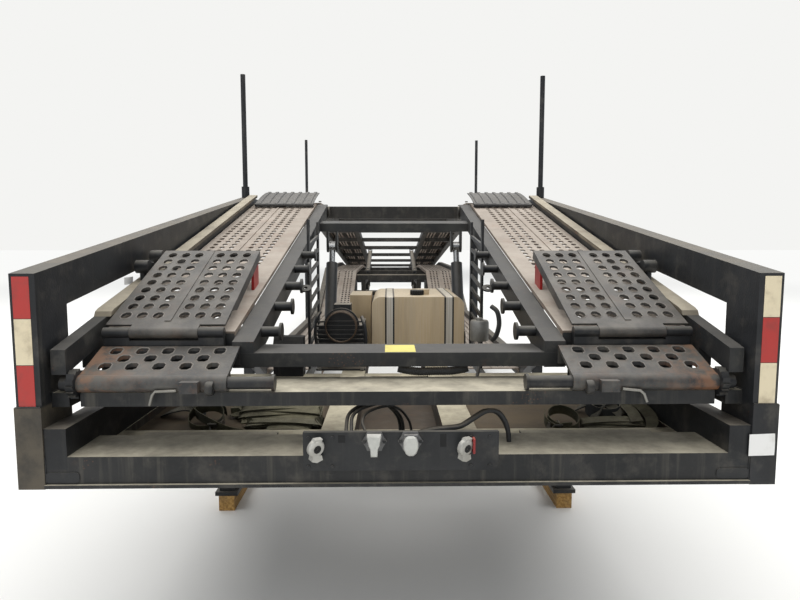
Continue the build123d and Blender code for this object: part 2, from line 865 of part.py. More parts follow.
def flap_hinges():
    """Hinge knuckles, pins and carriers of the flaps on the front deck, and the props under the flaps."""
    edge = knuckle_edges()
    base = lip_top_height - lip_plate
    pieces = [bar(hinge_pin_radius, flap_inner, flap_outer, flap_hinge_station, flap_hinge_height)]
    pieces.append(block(flap_inner, flap_outer - carrier_inset, flap_hinge_station - carrier_half,
                        flap_hinge_station + carrier_half, base,
                        flap_hinge_height - knuckle_radius - carrier_gap))
    for x0, x1 in ((edge[0], edge[1] - knuckle_play / 2), (edge[2] + knuckle_play / 2, edge[3])):
        pieces.append(bar(knuckle_radius, x0, x1, flap_hinge_station, flap_hinge_height))
        pieces.append(block(x0, min(x1, flap_outer - carrier_inset), flap_hinge_station - carrier_half,
                            flap_hinge_station + carrier_half, base, flap_hinge_height - carrier_reach))
    put("flap_hinges", both(fuse(*pieces)))
    angle = math.radians(flap_angle)
    low = knuckle_radius - flap_plate - flap_edge
    far = flap_hinge_station + (flap_length - prop_back) * math.cos(angle) - low * math.sin(angle)
    far_height = flap_hinge_height + (flap_length - prop_back) * math.sin(angle) + low * math.cos(angle)
    near = far - prop_length * math.cos(angle)
    near_height = far_height - prop_length * math.sin(angle)
    gap = rest_gap / math.cos(angle)
    outline = [(far, far_height - gap), (near, near_height - gap), (near, ramp_at(near)), (far, ramp_at(far))]
    prop = slab(outline, flap_inner, flap_inner + prop_thickness)
    put("flap_props", both(prop))


def tie_pegs():
    """Flanged tie-down pegs on the inner tubes and hooked ones on the outer strips of the front deck."""
    for number in range(peg_count):
        station = peg_first + number * peg_pitch
        height = ramp_at(station) - ramp_tube_drop - peg_drop
        end = inner_tube_inner - peg_reach
        shank = bar(peg_radius, inner_tube_inner, end, station, height)
        flange = bar(peg_flange_radius, end, end - peg_flange, station, height)
        put("tie_pegs", both(fuse(shank, flange)))
    for station in outer_peg_stations:
        height = ramp_at(station) + outer_tube_rise + strip_plate
        middle = (strip_inner + strip_outer) / 2
        high = height + outer_peg_height
        post = upright(outer_peg_radius, middle, station, height - outer_peg_radius, high)
        under = [(station - outer_peg_head, height - outer_peg_head * ramp_slope),
                 (station + outer_peg_head, height + outer_peg_head * ramp_slope)]
        post -= strip(under, strip_inner, strip_outer, 0, 2 * outer_peg_head)
        x0, x1 = strip_inner + outer_peg_inset, strip_outer - outer_peg_inset
        head = bar(outer_peg_head, x0, x1, station, high)
        put("tie_pegs", both(fuse(post, head)))


def bridge_plates():
    """Ribbed plates on the rear end of the front deck, which reach over the platform's edge."""
    start = (bridge_front, ramp_at(bridge_front) + bridge_rise)
    end = (bridge_back, bridge_back_height)
    path = [start, end]
    x0, x1 = tread_inner, tread_outer - bridge_inset
    plate = strip(path, x0, x1, 0, bridge_plate)
    back = bridge_front + bridge_foot
    outline = [start, (bridge_front, ramp_at(bridge_front)),
               (back, ramp_at(back)), (back, height_on(path, back))]
    rib_clear = tread_rib_width / 2 + 1
    middle = (inner_tube_outer + tread_outer) / 2
    feet = [slab(outline, x0, middle - rib_clear), slab(outline, middle + rib_clear, x1)]
    ribs = []
    for number in range(bridge_ribs):
        share = (number + 0.5) / bridge_ribs
        station = bridge_front + share * (bridge_back - bridge_front)
        s0, s1 = station - bridge_rib_width / 2, station + bridge_rib_width / 2
        ribs.append(strip(part_of(path, s0, s1), x0, x1, -bridge_rib_height, bridge_rib_height))
    put("bridge_plates", both(fuse(plate, *feet, *ribs)))


def platform():
    """The level platform: cross members between the upper rails, runways, pivots and poles."""
    half = upper_cross_width / 2
    top = platform_top - platform_flange
    crosses = [block(-post_inner, post_inner, station - half, station + half, top - upper_cross_depth, top)
               for station in upper_cross_stations]
    tubes = [block(side * inner_tube_inner, side * inner_tube_outer, upper_cross_stations[0],
                   upper_cross_stations[-1], top - inner_tube_depth, top) for side in (-1, 1)]
    put("platform_frame", fuse(*crosses, *tubes))
    path = [(platform_start, platform_top), (platform_end, platform_top)]
    put("platform_runways", both(runway(path, tread_inner, tread_outer, platform_flange)))
    for station, head in zip(pole_stations, pole_tops):
        x = half_width - rail_width / 2
        socket_top = upper_rail_back_top + pole_socket_height
        socket = upright(pole_socket_radius, x, station, upper_rail_back_top, socket_top)
        pole = upright(pole_radius, x, station, upper_rail_back_top, head)
        put("guide_poles", both(fuse(socket, pole)))


def pivots():
    """Lugs and pins that carry the front deck and the rear deck."""
    front_face = upper_cross_stations[0] - upper_cross_width / 2
    rear_face = upper_cross_stations[-1] + upper_cross_width / 2
    places = ((front_pivot_station, front_pivot_height, front_face),
              (rear_pivot_station, rear_pivot_height, rear_face))
    for station, height, face in places:
        x_in = inner_tube_inner - lug_play
        x_out = inner_tube_outer + lug_play
        pieces = []
        for x0, x1 in ((x_in - lug_plate, x_in), (x_out, x_out + lug_plate)):
            round_end = bar(pivot_eye_radius, x0, x1, station, height)
            web = block(x0, x1, min(station, face), max(station, face), height - pivot_eye_radius,
                        height + pivot_eye_radius)
            pieces.append(fuse(round_end, web))
        pin = bar(pivot_pin_radius, x_in - lug_plate, x_out + lug_plate, station, height)
        put("deck_pivots", both(fuse(pin, *pieces)))


def rear_deck():
    """The rear deck: side tubes with pivot eyes, cross members, runways and rest pads."""
    across = inner_tube_outer + 1
    hole = bar(pivot_pin_radius + pivot_play, -across, across, rear_pivot_station, rear_pivot_height)
    pieces = []
    for side in (-1, 1):
        tube = strip(rear_path, side * inner_tube_inner, side * inner_tube_outer, 0, rear_deck_depth)
        eye = bar(pivot_eye_radius, side * inner_tube_inner, side * inner_tube_outer,
                  rear_pivot_station, rear_pivot_height)
        pieces.append(fuse(tube, eye) - hole)
        pieces.append(strip(part_of(rear_path, rear_deck_start + rear_side_back, rear_deck_end),
                            side * tread_outer, side * rear_strip_outer, 0, rear_deck_depth))
    for station in rear_cross_stations:
        half = rear_cross_width / 2
        pieces.append(strip(part_of(rear_path, station - half, station + half),
                            -rear_strip_outer, rear_strip_outer, platform_flange,
                            rear_deck_depth - platform_flange))
    lift_path = part_of(rear_path, rear_eye[0] - front_bar_half, rear_eye[0] + front_bar_half)
    pieces.append(strip(lift_path, -inner_tube_inner, inner_tube_inner, rear_deck_depth - rear_bar_depth,
                        rear_bar_depth))

    def bar_bottom(station):
        return height_on(rear_path, station) - rear_deck_depth + rear_bar_depth / 2

    pieces += [clevis(side * rear_lift_offset, rear_eye, bar_bottom) for side in (-1, 1)]
    put("rear_deck_frame", fuse(*pieces))
    path = part_of(rear_path, rear_deck_start + rear_runway_back, rear_deck_end)
    put("rear_runways", both(runway(path, inner_tube_outer, tread_outer, platform_flange)))


def ears(offset, place, far_outline):
    """Two ears beside a cylinder's eye, each a round end and a web, with the pin through them."""
    near = eye_width / 2 + clevis_play
    far = near + clevis_plate
    plates = []
    for x0, x1 in ((offset - far, offset - near), (offset + near, offset + far)):
        plates += [bar(eye_radius, x0, x1, *place), slab(far_outline, x0, x1)]
    pin = bar(eye_pin_radius, offset - far, offset + far, *place)
    return fuse(pin, *plates)


def lift(name, offset, foot, eye, stroke):
    """A pair of lift cylinders: the barrels, each with its foot eye, and the rods with theirs."""
    run = Vector(0, eye[0] - foot[0], eye[1] - foot[1])
    unit = run.normalized()
    length = run.length
    barrel_end = length - eye_radius - rod_show

    def along(distance):
        return (foot[0] + unit.Y * distance, foot[1] + unit.Z * distance)

    half = eye_width / 2
    foot_eye = bar(eye_radius, offset - half, offset + half, *foot)
    neck_part = inclined(rod_radius, offset, foot, along(eye_radius + eye_neck))
    barrel = inclined(barrel_radius, offset, along(eye_radius + eye_neck), along(barrel_end))
    hole = bar(eye_pin_radius + eye_play, offset - half - 1, offset + half + 1, *foot)
    bore = inclined(rod_radius + rod_play, offset, along(barrel_end - stroke), along(barrel_end + 1))
    put(f"{name}_barrels", both(fuse(barrel, neck_part, foot_eye) - hole - bore))
    rod = inclined(rod_radius, offset, along(barrel_end - stroke + rod_bottom_gap), eye)
    rod_eye = bar(eye_radius, offset - half, offset + half, *eye)
    rod_hole = bar(eye_pin_radius + open_eye_play, offset - half - 1, offset + half + 1, *eye)
    put(f"{name}_rods", both(fuse(rod, rod_eye) - rod_hole))


def lifts():
    """Both pairs of lift cylinders, and the foot ears on the cross members."""
    lift("front_lift", front_lift_offset, front_foot, front_eye, front_stroke)
    lift("rear_lift", rear_lift_offset, rear_foot, rear_eye, rear_stroke)
    bases = ((front_lift_offset, front_foot, spine_bottom + cross_depth),
             (rear_lift_offset, rear_foot, hump_height - tread_flange))
    for offset, foot, base in bases:
        outline = [(foot[0] - eye_radius, base), (foot[0] + eye_radius, base),
                   (foot[0] + eye_radius, foot[1]), (foot[0] - eye_radius, foot[1])]
        put("lift_feet", both(ears(offset, foot, outline)))


def clevis(offset, eye, deck_bottom):
    """The ears on a deck that hold a rod's eye, up to the height of the deck's underside."""
    s0, s1 = eye[0] - eye_radius, eye[0] + eye_radius
    outline = [(s0, eye[1]), (s1, eye[1]), (s1, deck_bottom(s1)), (s0, deck_bottom(s0))]
    return ears(offset, eye, outline)


def lock_ladders():
    """Upright lock racks inboard of the front deck, with slanted rungs."""
    ladder_foot = spine_bottom + cross_depth
    sill_s0, sill_s1 = neck_cross_stations[1] + cross_width / 2, neck_cross_stations[2] - cross_width / 2
    for side in (-1, 1):
        x0 = side * (ladder_offset - ladder_plate / 2)
        x1 = side * (ladder_offset + ladder_plate / 2)
        base = block(x0, x1, sill_s0, sill_s1, ladder_foot - ladder_foot_depth, ladder_foot)
        rails = [block(x0, x1, s - ladder_rail / 2, s + ladder_rail / 2, ladder_foot, ladder_top)
                 for s in ladder_stations]
        pitch = (ladder_top - ladder_foot - ladder_top_rung) / ladder_rungs
        rungs = []
        for number in range(ladder_rungs):
            low = ladder_foot + ladder_first_rung + number * pitch
            high = low + ladder_rung_rise
            s0, s1 = ladder_stations
            outline = [(s0, low), (s1, high), (s1, high + ladder_rung), (s0, low + ladder_rung)]
            rungs.append(slab(outline, min(x0, x1), max(x0, x1)))
        put("lock_ladders", fuse(base, *rails, *rungs))


def tank_and_unit():
    """The strapped tank on the spine, the box beside it and the power unit."""
    x0, x1 = tank_middle - tank_width / 2, tank_middle + tank_width / 2
    tank = block(x0, x1, tank_front, tank_back, spine_top, tank_top)
    tank = fillet(tank.edges().filter_by(Axis.Y), tank_round)
    cap_place = (tank_middle + cap_offset, tank_front + cap_back)
    cap = upright(cap_radius, *cap_place, tank_top, tank_top + cap_height)
    put("tank", fuse(tank, cap))
    for offset in tank_strap_offsets:
        a, b = offset - strap_width / 2, offset + strap_width / 2
        outer = block(a, b, tank_front - strap_plate - rest_gap, tank_back + strap_plate + rest_gap,
                      spine_top + strap_tail, tank_top + strap_plate + rest_gap)
        inner = block(a - 1, b + 1, tank_front - rest_gap, tank_back + rest_gap,
                      spine_top, tank_top + rest_gap)
        put("tank_straps", outer - inner)
    bx0, bx1, bs0, bs1, btop = side_box
    put("side_box", block(bx0, bx1, bs0, bs1, spine_top, btop))


def power_unit():
    """The engine and pump on the spine, with a ringed drum in front, and the guard beside it."""
    bx0, bx1, bs0, bs1 = unit_base
    base_top = spine_top + unit_base_plate
    base = block(bx0, bx1, bs0, bs1, spine_top, base_top)
    ex0, ex1, es0, es1, height = engine
    engine_block = block(ex0, ex1, es0, es1, base_top, base_top + height)
    hx0, hx1, hs0, hs1, rise = header
    top_box = block(hx0, hx1, hs0, hs1, base_top + height, base_top + height + rise)
    x, h = drum_place
    drum = facing((drum_radius, drum_depth), x, es0, h)
    ring = facing((drum_radius + drum_ring, drum_ring), x, es0 - drum_depth + drum_ring, h)
    put("power_unit", fuse(base, engine_block, top_box, drum, ring))
    gx0, gx1, gs0, gs1, gheight = guard
    low = spine_bottom + cross_depth
    outline = [(gs0, low), (gs0, low + gheight * guard_shoulder), (gs0 + guard_slope, low + gheight),
               (gs1, low + gheight), (gs1, low)]
    put("belt_guard", slab(outline, gx0, gx1))


def air_and_electric():
    """The connector panel on the front beam, two air couplings and two electric sockets."""
    panel = block(-panel_half, panel_half, panel_front, panel_front + panel_plate, panel_bottom, panel_top)
    top_lip = block(-panel_half, panel_half, panel_front, panel_front + panel_lip,
                    panel_top - panel_plate, panel_top)
    low_lip = block(-panel_half, panel_half, panel_front, 0, panel_bottom, panel_bottom + panel_plate)
    put("connector_panel", fuse(panel, top_lip, low_lip))
    face = panel_front
    half, reach, drop = coupling_tongue
    for x in coupling_offsets:
        shank = facing(coupling_shank, x, face, coupling_height)
        head = facing(coupling_head, x, face - coupling_shank[1], coupling_height)
        tongue = block(x - half, x + half, face - reach, face - coupling_shank[1],
                       coupling_height - drop, coupling_height)
        put("air_couplings", fuse(shank, head, tongue))
    for x in socket_offsets:
        half, high, thick = socket_flange
        flange = block(x - half, x + half, face - thick, face, socket_height - high, socket_height + high)
        barrel = facing(socket_barrel, x, face - thick, socket_height)
        lid_half, drop, lid = socket_cover
        lid_back = face - thick - socket_barrel[1]
        cover = block(x - lid_half, x + lid_half, lid_back - lid, lid_back,
                      socket_height - drop, socket_height + high)
        put("electric_sockets", fuse(flange, barrel, cover))


def tail():
    """The tail cross member with its lamps, the underride guard and the mud flaps."""
    deck_height = height_on(lower_deck, tail_station - bumper_depth)
    top = deck_height
    s0 = tail_station - bumper_depth
    beam = block(-lower_rail_inner, lower_rail_inner, s0, tail_station, top - bumper_height, top)
    x0, x1 = guard_drop_offset, guard_drop_offset + guard_drop_width
    drops = both(block(x0, x1, s0 + guard_drop_inset, tail_station - guard_drop_inset,
                       guard_height, top - bumper_height))
    low = block(-guard_half, guard_half, s0 + guard_inset, tail_station - guard_inset,
                guard_height - guard_depth, guard_height)
    put("tail_beam", fuse(beam, low, *drops))
    for x in lamp_offsets:
        lamp = Pos(x, tail_station + lamp_depth / 2, top - bumper_height / 2) * Rot(90, 0, 0)
        put("tail_lamps", both(lamp * Cylinder(lamp_radius, lamp_depth)))
    x0, x1, station, low_edge = mud_flap
    high = height_on(lower_rail_path, station) - lower_rail_depth
    put("mud_flaps", both(block(x0, x1, station, station + mud_flap_plate, low_edge, high)))


def build():
    """Make every piece of the trailer."""
    corner_posts()
    front_beam()
    front_sill()
    side_rails()
    neck()
    landing_legs()
    lower_deck_pieces()
    suspension()
    wheels()
    front_deck()
    lip_pieces()
    winches()
    flap = right_flap()
    put("flap_right", flap)
    put("flap_left", mirror(flap, about=Plane.YZ))
    flap_hinges()
    tie_pegs()
    bridge_plates()
    platform()
    pivots()
    rear_deck()
    lifts()
    lock_ladders()
    tank_and_unit()
    power_unit()
    air_and_electric()
    tail()


def write():
    """Centre the trailer over its length and write one file for each piece."""
    os.makedirs("parts", exist_ok=True)
    everything = Compound(children=[item for items in node_solids.values() for item in items])
    box = everything.bounding_box()
    shift = Pos(0, -(box.min.Y + box.max.Y) / 2, 0)
    for name, items in node_solids.items():
        solids = [solid for item in items for solid in (shift * item).solids()]
        shape = solids[0] if len(solids) == 1 else Compound(children=solids)
        export_step(shape, f"parts/{name}.step")
    print(f"{len(node_solids)} pieces, moved forward by {(box.min.Y + box.max.Y) / 2:.3f}")
    print(f"length {box.size.Y:.1f}, width {box.size.X:.1f}, height {box.size.Z:.1f}")


build()
write()
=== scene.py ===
# %% [markdown]
# # A parked car transporter trailer
# The trailer's frame comes from the CAD model, already at its real size and place. This lesson
# dresses it: first the camera and the light, then the finishes, and then the pieces that are too
# small or too soft for the CAD model. Lengths in the tables are millimetres, as on a workshop
# drawing, and the helper `spot` turns them into Blender's metres.

import math

import bmesh
import bpy
from mathutils import Matrix, Vector


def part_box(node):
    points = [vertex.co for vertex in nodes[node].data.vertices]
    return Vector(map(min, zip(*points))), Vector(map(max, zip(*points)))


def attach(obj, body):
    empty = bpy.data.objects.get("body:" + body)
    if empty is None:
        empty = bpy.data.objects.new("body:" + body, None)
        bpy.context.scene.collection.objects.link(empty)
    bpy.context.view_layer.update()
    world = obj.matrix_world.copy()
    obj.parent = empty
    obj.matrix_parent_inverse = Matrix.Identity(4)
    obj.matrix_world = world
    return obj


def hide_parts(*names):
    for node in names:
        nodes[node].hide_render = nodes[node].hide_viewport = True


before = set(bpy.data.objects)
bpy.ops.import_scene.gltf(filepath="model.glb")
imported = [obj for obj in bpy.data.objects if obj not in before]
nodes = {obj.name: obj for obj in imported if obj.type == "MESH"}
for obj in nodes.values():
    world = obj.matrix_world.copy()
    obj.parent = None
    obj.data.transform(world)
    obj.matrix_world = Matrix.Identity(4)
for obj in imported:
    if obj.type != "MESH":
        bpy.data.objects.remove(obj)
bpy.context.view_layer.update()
sleeve_plate = 0.006  # the lower sleeve of a corner post stands this far proud of it
front_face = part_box("corner_posts")[0].y + sleeve_plate
print("CAD nodes:", len(nodes), "front face of the posts at", round(front_face, 3))


def spot(x, station, height):
    """A point in metres from an offset, a distance behind the front posts and a height in mm."""
    return Vector((x / 1000, front_face + station / 1000, height / 1000))


# %% [markdown]
# ## The camera
# The photograph was taken from chest height, two metres in front of the trailer, with a wide
# lens. A lens of 27 mm on a 36 mm sensor gives the same spread of the long rails. The camera
# looks down a little, so the rails' vanishing point lies above the middle of the picture.

# %% Place the camera
lens_mm, sensor_mm = 27, 36
eye_offset, eye_station, eye_height = -40, -1990, 1550
look_down, look_right = math.radians(5.43), math.radians(1.05)

camera_data = bpy.data.cameras.new("photo_camera")
camera = bpy.data.objects.new("photo_camera", camera_data)
scene = bpy.context.scene
scene.collection.objects.link(camera)
camera_data.lens, camera_data.sensor_width = lens_mm, sensor_mm
camera_data.clip_start, camera_data.clip_end = 0.05, 400
camera.location = spot(eye_offset, eye_station, eye_height)
camera.rotation_euler = (math.pi / 2 - look_down, 0, -look_right)
scene.camera = camera
print("camera at", [round(v, 3) for v in camera.location])

# %% [markdown]
# ## Light and floor
# The day was grey and bright: light comes evenly from the whole sky and a little more from
# above. A world of one pale colour does most of that, a broad lamp overhead gives the undersides
# their shade, and a weak one in front opens the shadows. Camera rays see a paler grey than the
# light has. Far from the trailer the floor's own tone fades and the floor glows in that grey, so
# no horizon shows.

# %% Build the sky
def linear(hex_colour):
    """A colour as Blender wants it, from the hex code that a painter's chart gives."""
    parts = [int(hex_colour[i:i + 2], 16) / 255 for i in (0, 2, 4)]
    lin = [v / 12.92 if v <= 0.04045 else ((v + 0.055) / 1.055) ** 2.4 for v in parts]
    return (*lin, 1.0)


def add_node(tree, kind, settings=None, **links):
    """A node with its settings, and its inputs joined to sockets or given values.

    An input is named by its label, or as i0, i1 and so on where labels repeat."""
    node = tree.nodes.new(kind)
    for key, value in (settings or {}).items():
        setattr(node, key, value)
    for key, value in links.items():
        numbered = key[0] == "i" and key[1:].isdigit()
        socket = node.inputs[int(key[1:])] if numbered else node.inputs[key.replace("_", " ")]
        if isinstance(value, bpy.types.NodeSocket):
            tree.links.new(value, socket)
        else:
            socket.default_value = value
    return node


seen_grey = linear("f4f4f2")
sky_grey, sky_strength = linear("dfe4ea"), 0.78
scene.view_settings.view_transform = "Standard"
world = bpy.data.worlds.new("grey_day")
scene.world = world
world.use_nodes = True
sky = world.node_tree
sky.nodes.clear()
sky_light = add_node(sky, "ShaderNodeBackground", Color=sky_grey, Strength=sky_strength)
sky_seen = add_node(sky, "ShaderNodeBackground", Color=seen_grey, Strength=1.0)
sky_path = add_node(sky, "ShaderNodeLightPath")
sky_mix = add_node(sky, "ShaderNodeMixShader", i0=sky_path.outputs["Is Camera Ray"],
                   i1=sky_light.outputs[0], i2=sky_seen.outputs[0])
add_node(sky, "ShaderNodeOutputWorld", Surface=sky_mix.outputs[0])
print("nodes of the sky:", len(sky.nodes))

# %% Hang the lamps
lamp_table = [  # name, place (offset, station, height), aimed at, side in metres, watts
    ("sky_panel", (500, 6500, 13000), (0, 6500, 800), 24.0, 4300),
    ("front_panel", (-4200, -7500, 5200), (0, 600, 900), 8.0, 210),
]
for name, place, aim, side, watts in lamp_table:
    lamp = bpy.data.lights.new(name, "AREA")
    lamp.shape, lamp.size, lamp.energy = "SQUARE", side, watts
    holder = bpy.data.objects.new(name, lamp)
    scene.collection.objects.link(holder)
    holder.location = spot(*place)
    holder.rotation_euler = (spot(*aim) - spot(*place)).to_track_quat("-Z", "Y").to_euler()
print("lamps:", len(lamp_table))

# %% Lay the floor
half_floor = 120
fade_from, fade_to = 6.0, 19.0
fade_shape = (1.0, 0.55, 0.0)  # the fade is longer along the trailer than across it

floor_mesh = bpy.data.meshes.new("floor")
floor_mesh.from_pydata([(-half_floor, -half_floor, 0), (half_floor, -half_floor, 0),
                        (half_floor, half_floor, 0), (-half_floor, half_floor, 0)], [], [(0, 1, 2, 3)])
floor = bpy.data.objects.new("floor", floor_mesh)
scene.collection.objects.link(floor)
floor_paint = bpy.data.materials.new("pale_floor")
floor_paint.use_nodes = True
floor_tree = floor_paint.node_tree
floor_place = add_node(floor_tree, "ShaderNodeTexCoord")
shaped = add_node(floor_tree, "ShaderNodeVectorMath", {"operation": "MULTIPLY"},
                  i0=floor_place.outputs["Object"], i1=fade_shape)
reach = add_node(floor_tree, "ShaderNodeVectorMath", {"operation": "LENGTH"}, i0=shaped.outputs[0])
fade = add_node(floor_tree, "ShaderNodeMapRange", {"interpolation_type": "SMOOTHSTEP"},
                Value=reach.outputs["Value"], From_Min=fade_from, From_Max=fade_to)
tone = add_node(floor_tree, "ShaderNodeMix", {"data_type": "RGBA"}, i0=fade.outputs[0],
                i6=linear("e2e0db"), i7=(0, 0, 0, 1))
floor_shader = floor_tree.nodes["Principled BSDF"]
floor_shader.inputs["Roughness"].default_value = 0.9
floor_shader.inputs["Emission Color"].default_value = seen_grey
floor_tree.links.new(tone.outputs[2], floor_shader.inputs["Base Color"])
floor_tree.links.new(fade.outputs[0], floor_shader.inputs["Emission Strength"])
floor_mesh.materials.append(floor_paint)
print("the floor fades from", fade_from, "to", fade_to, "m")

# %% [markdown]
# ## Effects that the finishes share
# Patches, dust, streaks and chips turn up on nearly every part of this trailer, so each is a
# node group with its own inputs, made once. A group puts out a mask from 0 to 1, and the finish
# decides which colour the mask shows. They read Object coordinates, which stay with a piece when
# it moves.

# %% Write the node helpers
FLOAT, VECTOR = "NodeSocketFloat", "NodeSocketVector"


def new_group(name, *inputs):
    """An empty shader group, with the outputs of its start and the mask that it puts out."""
    tree = bpy.data.node_groups.new(name, "ShaderNodeTree")
    for label, kind, value in inputs:
        socket = tree.interface.new_socket(label, in_out="INPUT", socket_type=kind)
        if value is not None:
            socket.default_value = value
    tree.interface.new_socket("Mask", in_out="OUTPUT", socket_type=FLOAT)
    start, end = tree.nodes.new("NodeGroupInput"), tree.nodes.new("NodeGroupOutput")
    return tree, start.outputs, end.inputs["Mask"]


def joined(tree, operation, first, second, clamp=False):
    """Two numbers joined by one operation of a Math node."""
    return add_node(tree, "ShaderNodeMath", {"operation": operation, "use_clamp": clamp},
                    i0=first, i1=second).outputs[0]


def ranged(tree, value, start, end, low=0.0, high=1.0, smooth=False):
    """A number moved from one range to another, and kept inside it."""
    kind = "SMOOTHSTEP" if smooth else "LINEAR"
    return add_node(tree, "ShaderNodeMapRange", {"interpolation_type": kind}, Value=value,
                    From_Min=start, From_Max=end, To_Min=low, To_Max=high).outputs[0]


def cloudy(tree, place, scale, detail, roughness=0.5):
    """The value of a noise at a place."""
    return add_node(tree, "ShaderNodeTexNoise", Vector=place, Scale=scale, Detail=detail,
                    Roughness=roughness).outputs[0]


print("node helpers are ready")

# %% Make the effect groups
def patches_group():
    """Soft patches of noise between two thresholds."""
    tree, start, mask = new_group("soft_patches", ("Place", VECTOR, None), ("Scale", FLOAT, 4.0),
                                  ("From", FLOAT, 0.4), ("To", FLOAT, 0.65), ("Detail", FLOAT, 5.0))
    noise = cloudy(tree, start["Place"], start["Scale"], start["Detail"], 0.62)
    tree.links.new(ranged(tree, noise, start["From"], start["To"], smooth=True), mask)
    return tree


def dust_group():
    """Dust that settles on faces that look up, thicker in patches."""
    tree, start, mask = new_group("settled_dust", ("Place", VECTOR, None), ("Facing", VECTOR, None),
                                  ("Amount", FLOAT, 0.8), ("Scale", FLOAT, 9.0))
    up = add_node(tree, "ShaderNodeSeparateXYZ", Vector=start["Facing"]).outputs["Z"]
    level = ranged(tree, up, 0.2, 0.9, smooth=True)
    broken = ranged(tree, cloudy(tree, start["Place"], start["Scale"], 8.0, 0.7), 0.28, 0.62, 0.45, 1.0)
    settled = joined(tree, "MULTIPLY", level, broken)
    tree.links.new(joined(tree, "MULTIPLY", settled, start["Amount"], clamp=True), mask)
    return tree


def streaks_group():
    """Long soft streaks, stretched along one axis by the Stretch vector."""
    tree, start, mask = new_group("long_streaks", ("Place", VECTOR, None),
                                  ("Stretch", VECTOR, (30.0, 30.0, 1.5)), ("From", FLOAT, 0.45),
                                  ("To", FLOAT, 0.7))
    drawn = add_node(tree, "ShaderNodeVectorMath", {"operation": "MULTIPLY"}, i0=start["Place"],
                     i1=start["Stretch"])
    noise = cloudy(tree, drawn.outputs[0], 1.0, 4.0, 0.6)
    tree.links.new(ranged(tree, noise, start["From"], start["To"], smooth=True), mask)
    return tree


def specks_group():
    """Small chips: cells of a Voronoi pattern, kept where a slower noise is high."""
    tree, start, mask = new_group("chip_specks", ("Place", VECTOR, None), ("Scale", FLOAT, 60.0),
                                  ("Share", FLOAT, 0.25))
    cells = add_node(tree, "ShaderNodeTexVoronoi", Vector=start["Place"], Scale=start["Scale"])
    near = ranged(tree, cells.outputs["Distance"], 0.38, 0.12, smooth=True)
    kept = joined(tree, "GREATER_THAN", cloudy(tree, start["Place"], 5.0, 3.0),
                  joined(tree, "SUBTRACT", 0.72, start["Share"]))
    tree.links.new(joined(tree, "MULTIPLY", near, kept), mask)
    return tree


patches, settled_dust, streaks, specks = patches_group(), dust_group(), streaks_group(), specks_group()
print("effect groups:", [group.name for group in (patches, settled_dust, streaks, specks)])

# %% [markdown]
# ## A finish under construction
# Each finish is one material. It starts from the shader that Blender gives a new material, lays
# one colour over another by a mask, and feeds the result to the shader. The steps are the same
# for steel, rubber and cloth, so a small class holds them.

# %% Write the steps of a finish
class Finish:
    """A material under construction: its tree, its shader and the coordinates it reads."""

    def __init__(self, name):
        self.material = bpy.data.materials.new(name)
        self.material.use_nodes = True
        self.tree = self.material.node_tree
        self.shader = self.tree.nodes["Principled BSDF"]
        self.place = self.tree.nodes.new("ShaderNodeTexCoord")

    def mask(self, group, **values):
        """The mask of a group that reads this material's Object coordinates."""
        node = self.tree.nodes.new("ShaderNodeGroup")
        node.node_tree = group
        self.tree.links.new(self.place.outputs["Object"], node.inputs["Place"])
        for key, value in values.items():
            node.inputs[key].default_value = value
        if "Facing" in node.inputs:
            self.tree.links.new(self.place.outputs["Normal"], node.inputs["Facing"])
        return node.outputs["Mask"]

    def along(self, axis, source="Object"):
        """One coordinate of the place, or of the way that the surface looks."""
        return add_node(self.tree, "ShaderNodeSeparateXYZ", Vector=self.place.outputs[source]).outputs[axis]

    def ranged(self, value, start, end, high=1.0):
        """A number moved from a range of its own to 0 and up."""
        return ranged(self.tree, value, start, end, high=high)

    def times(self, first, second):
        """Two masks multiplied."""
        return joined(self.tree, "MULTIPLY", first, second)

    def scaled(self, value, amount):
        """A mask times a number, kept between 0 and 1."""
        return joined(self.tree, "MULTIPLY", value, amount, clamp=True)

    def blend(self, under, over, mask):
        """One colour over another by a mask."""
        tones = [linear(value) if isinstance(value, str) else value for value in (under, over)]
        return add_node(self.tree, "ShaderNodeMix", {"data_type": "RGBA"}, i0=mask, i6=tones[0],
                        i7=tones[1]).outputs[2]

    def lerp(self, low, high, mask):
        """A number that goes from low to high with a mask."""
        return ranged(self.tree, mask, 0.0, 1.0, low, high)

    def bump(self, scale, strength, distance):
        """Fine grain on the surface, from a noise or from a mask, onto the shader's normal."""
        grain = scale
        if not isinstance(scale, bpy.types.NodeSocket):
            grain = cloudy(self.tree, self.place.outputs["Object"], scale, 6.0)
        node = add_node(self.tree, "ShaderNodeBump", Height=grain, Strength=strength, Distance=distance)
        self.tree.links.new(node.outputs[0], self.shader.inputs["Normal"])

    def feed(self, colour, rough, metal):
        """Join the finished colour, roughness and metal to the shader."""
        for value, label in ((colour, "Base Color"), (rough, "Roughness"), (metal, "Metallic")):
            if isinstance(value, bpy.types.NodeSocket):
                self.tree.links.new(value, self.shader.inputs[label])
            else:
                self.shader.inputs[label].default_value = value
        return self.material


print("steps of a finish:", len([name for name in vars(Finish) if name[0] != "_"]))

# %% [markdown]
# ## Steel finishes
# Nearly every piece is welded steel, painted black and used hard: the paint has faded to
# charcoal, it is chipped and rusty in places, and tan dust lies on what faces up. One recipe
# covers all of them, with its own colours and amounts for each finish. Some pieces need one thing
# more: a bare grey foot, rust at the trailer's sides, painted shade on the faces that look down,
# and painted shade that darkens the dust low in the trays.

# %% Write the steel recipe
DUST, RUST, SMUDGE, BRIGHT_RUST = "978b78", "6e4a35", "56524b", "7a543a"
sleeve_top = 1.0  # metres: the left post is bare below it
side_from, side_to = 0.88, 1.12  # metres off the middle, where the outer rust grows
# Dust below this height is painted darker as shade on the trays' floor.
floor_of_trays = 0.757


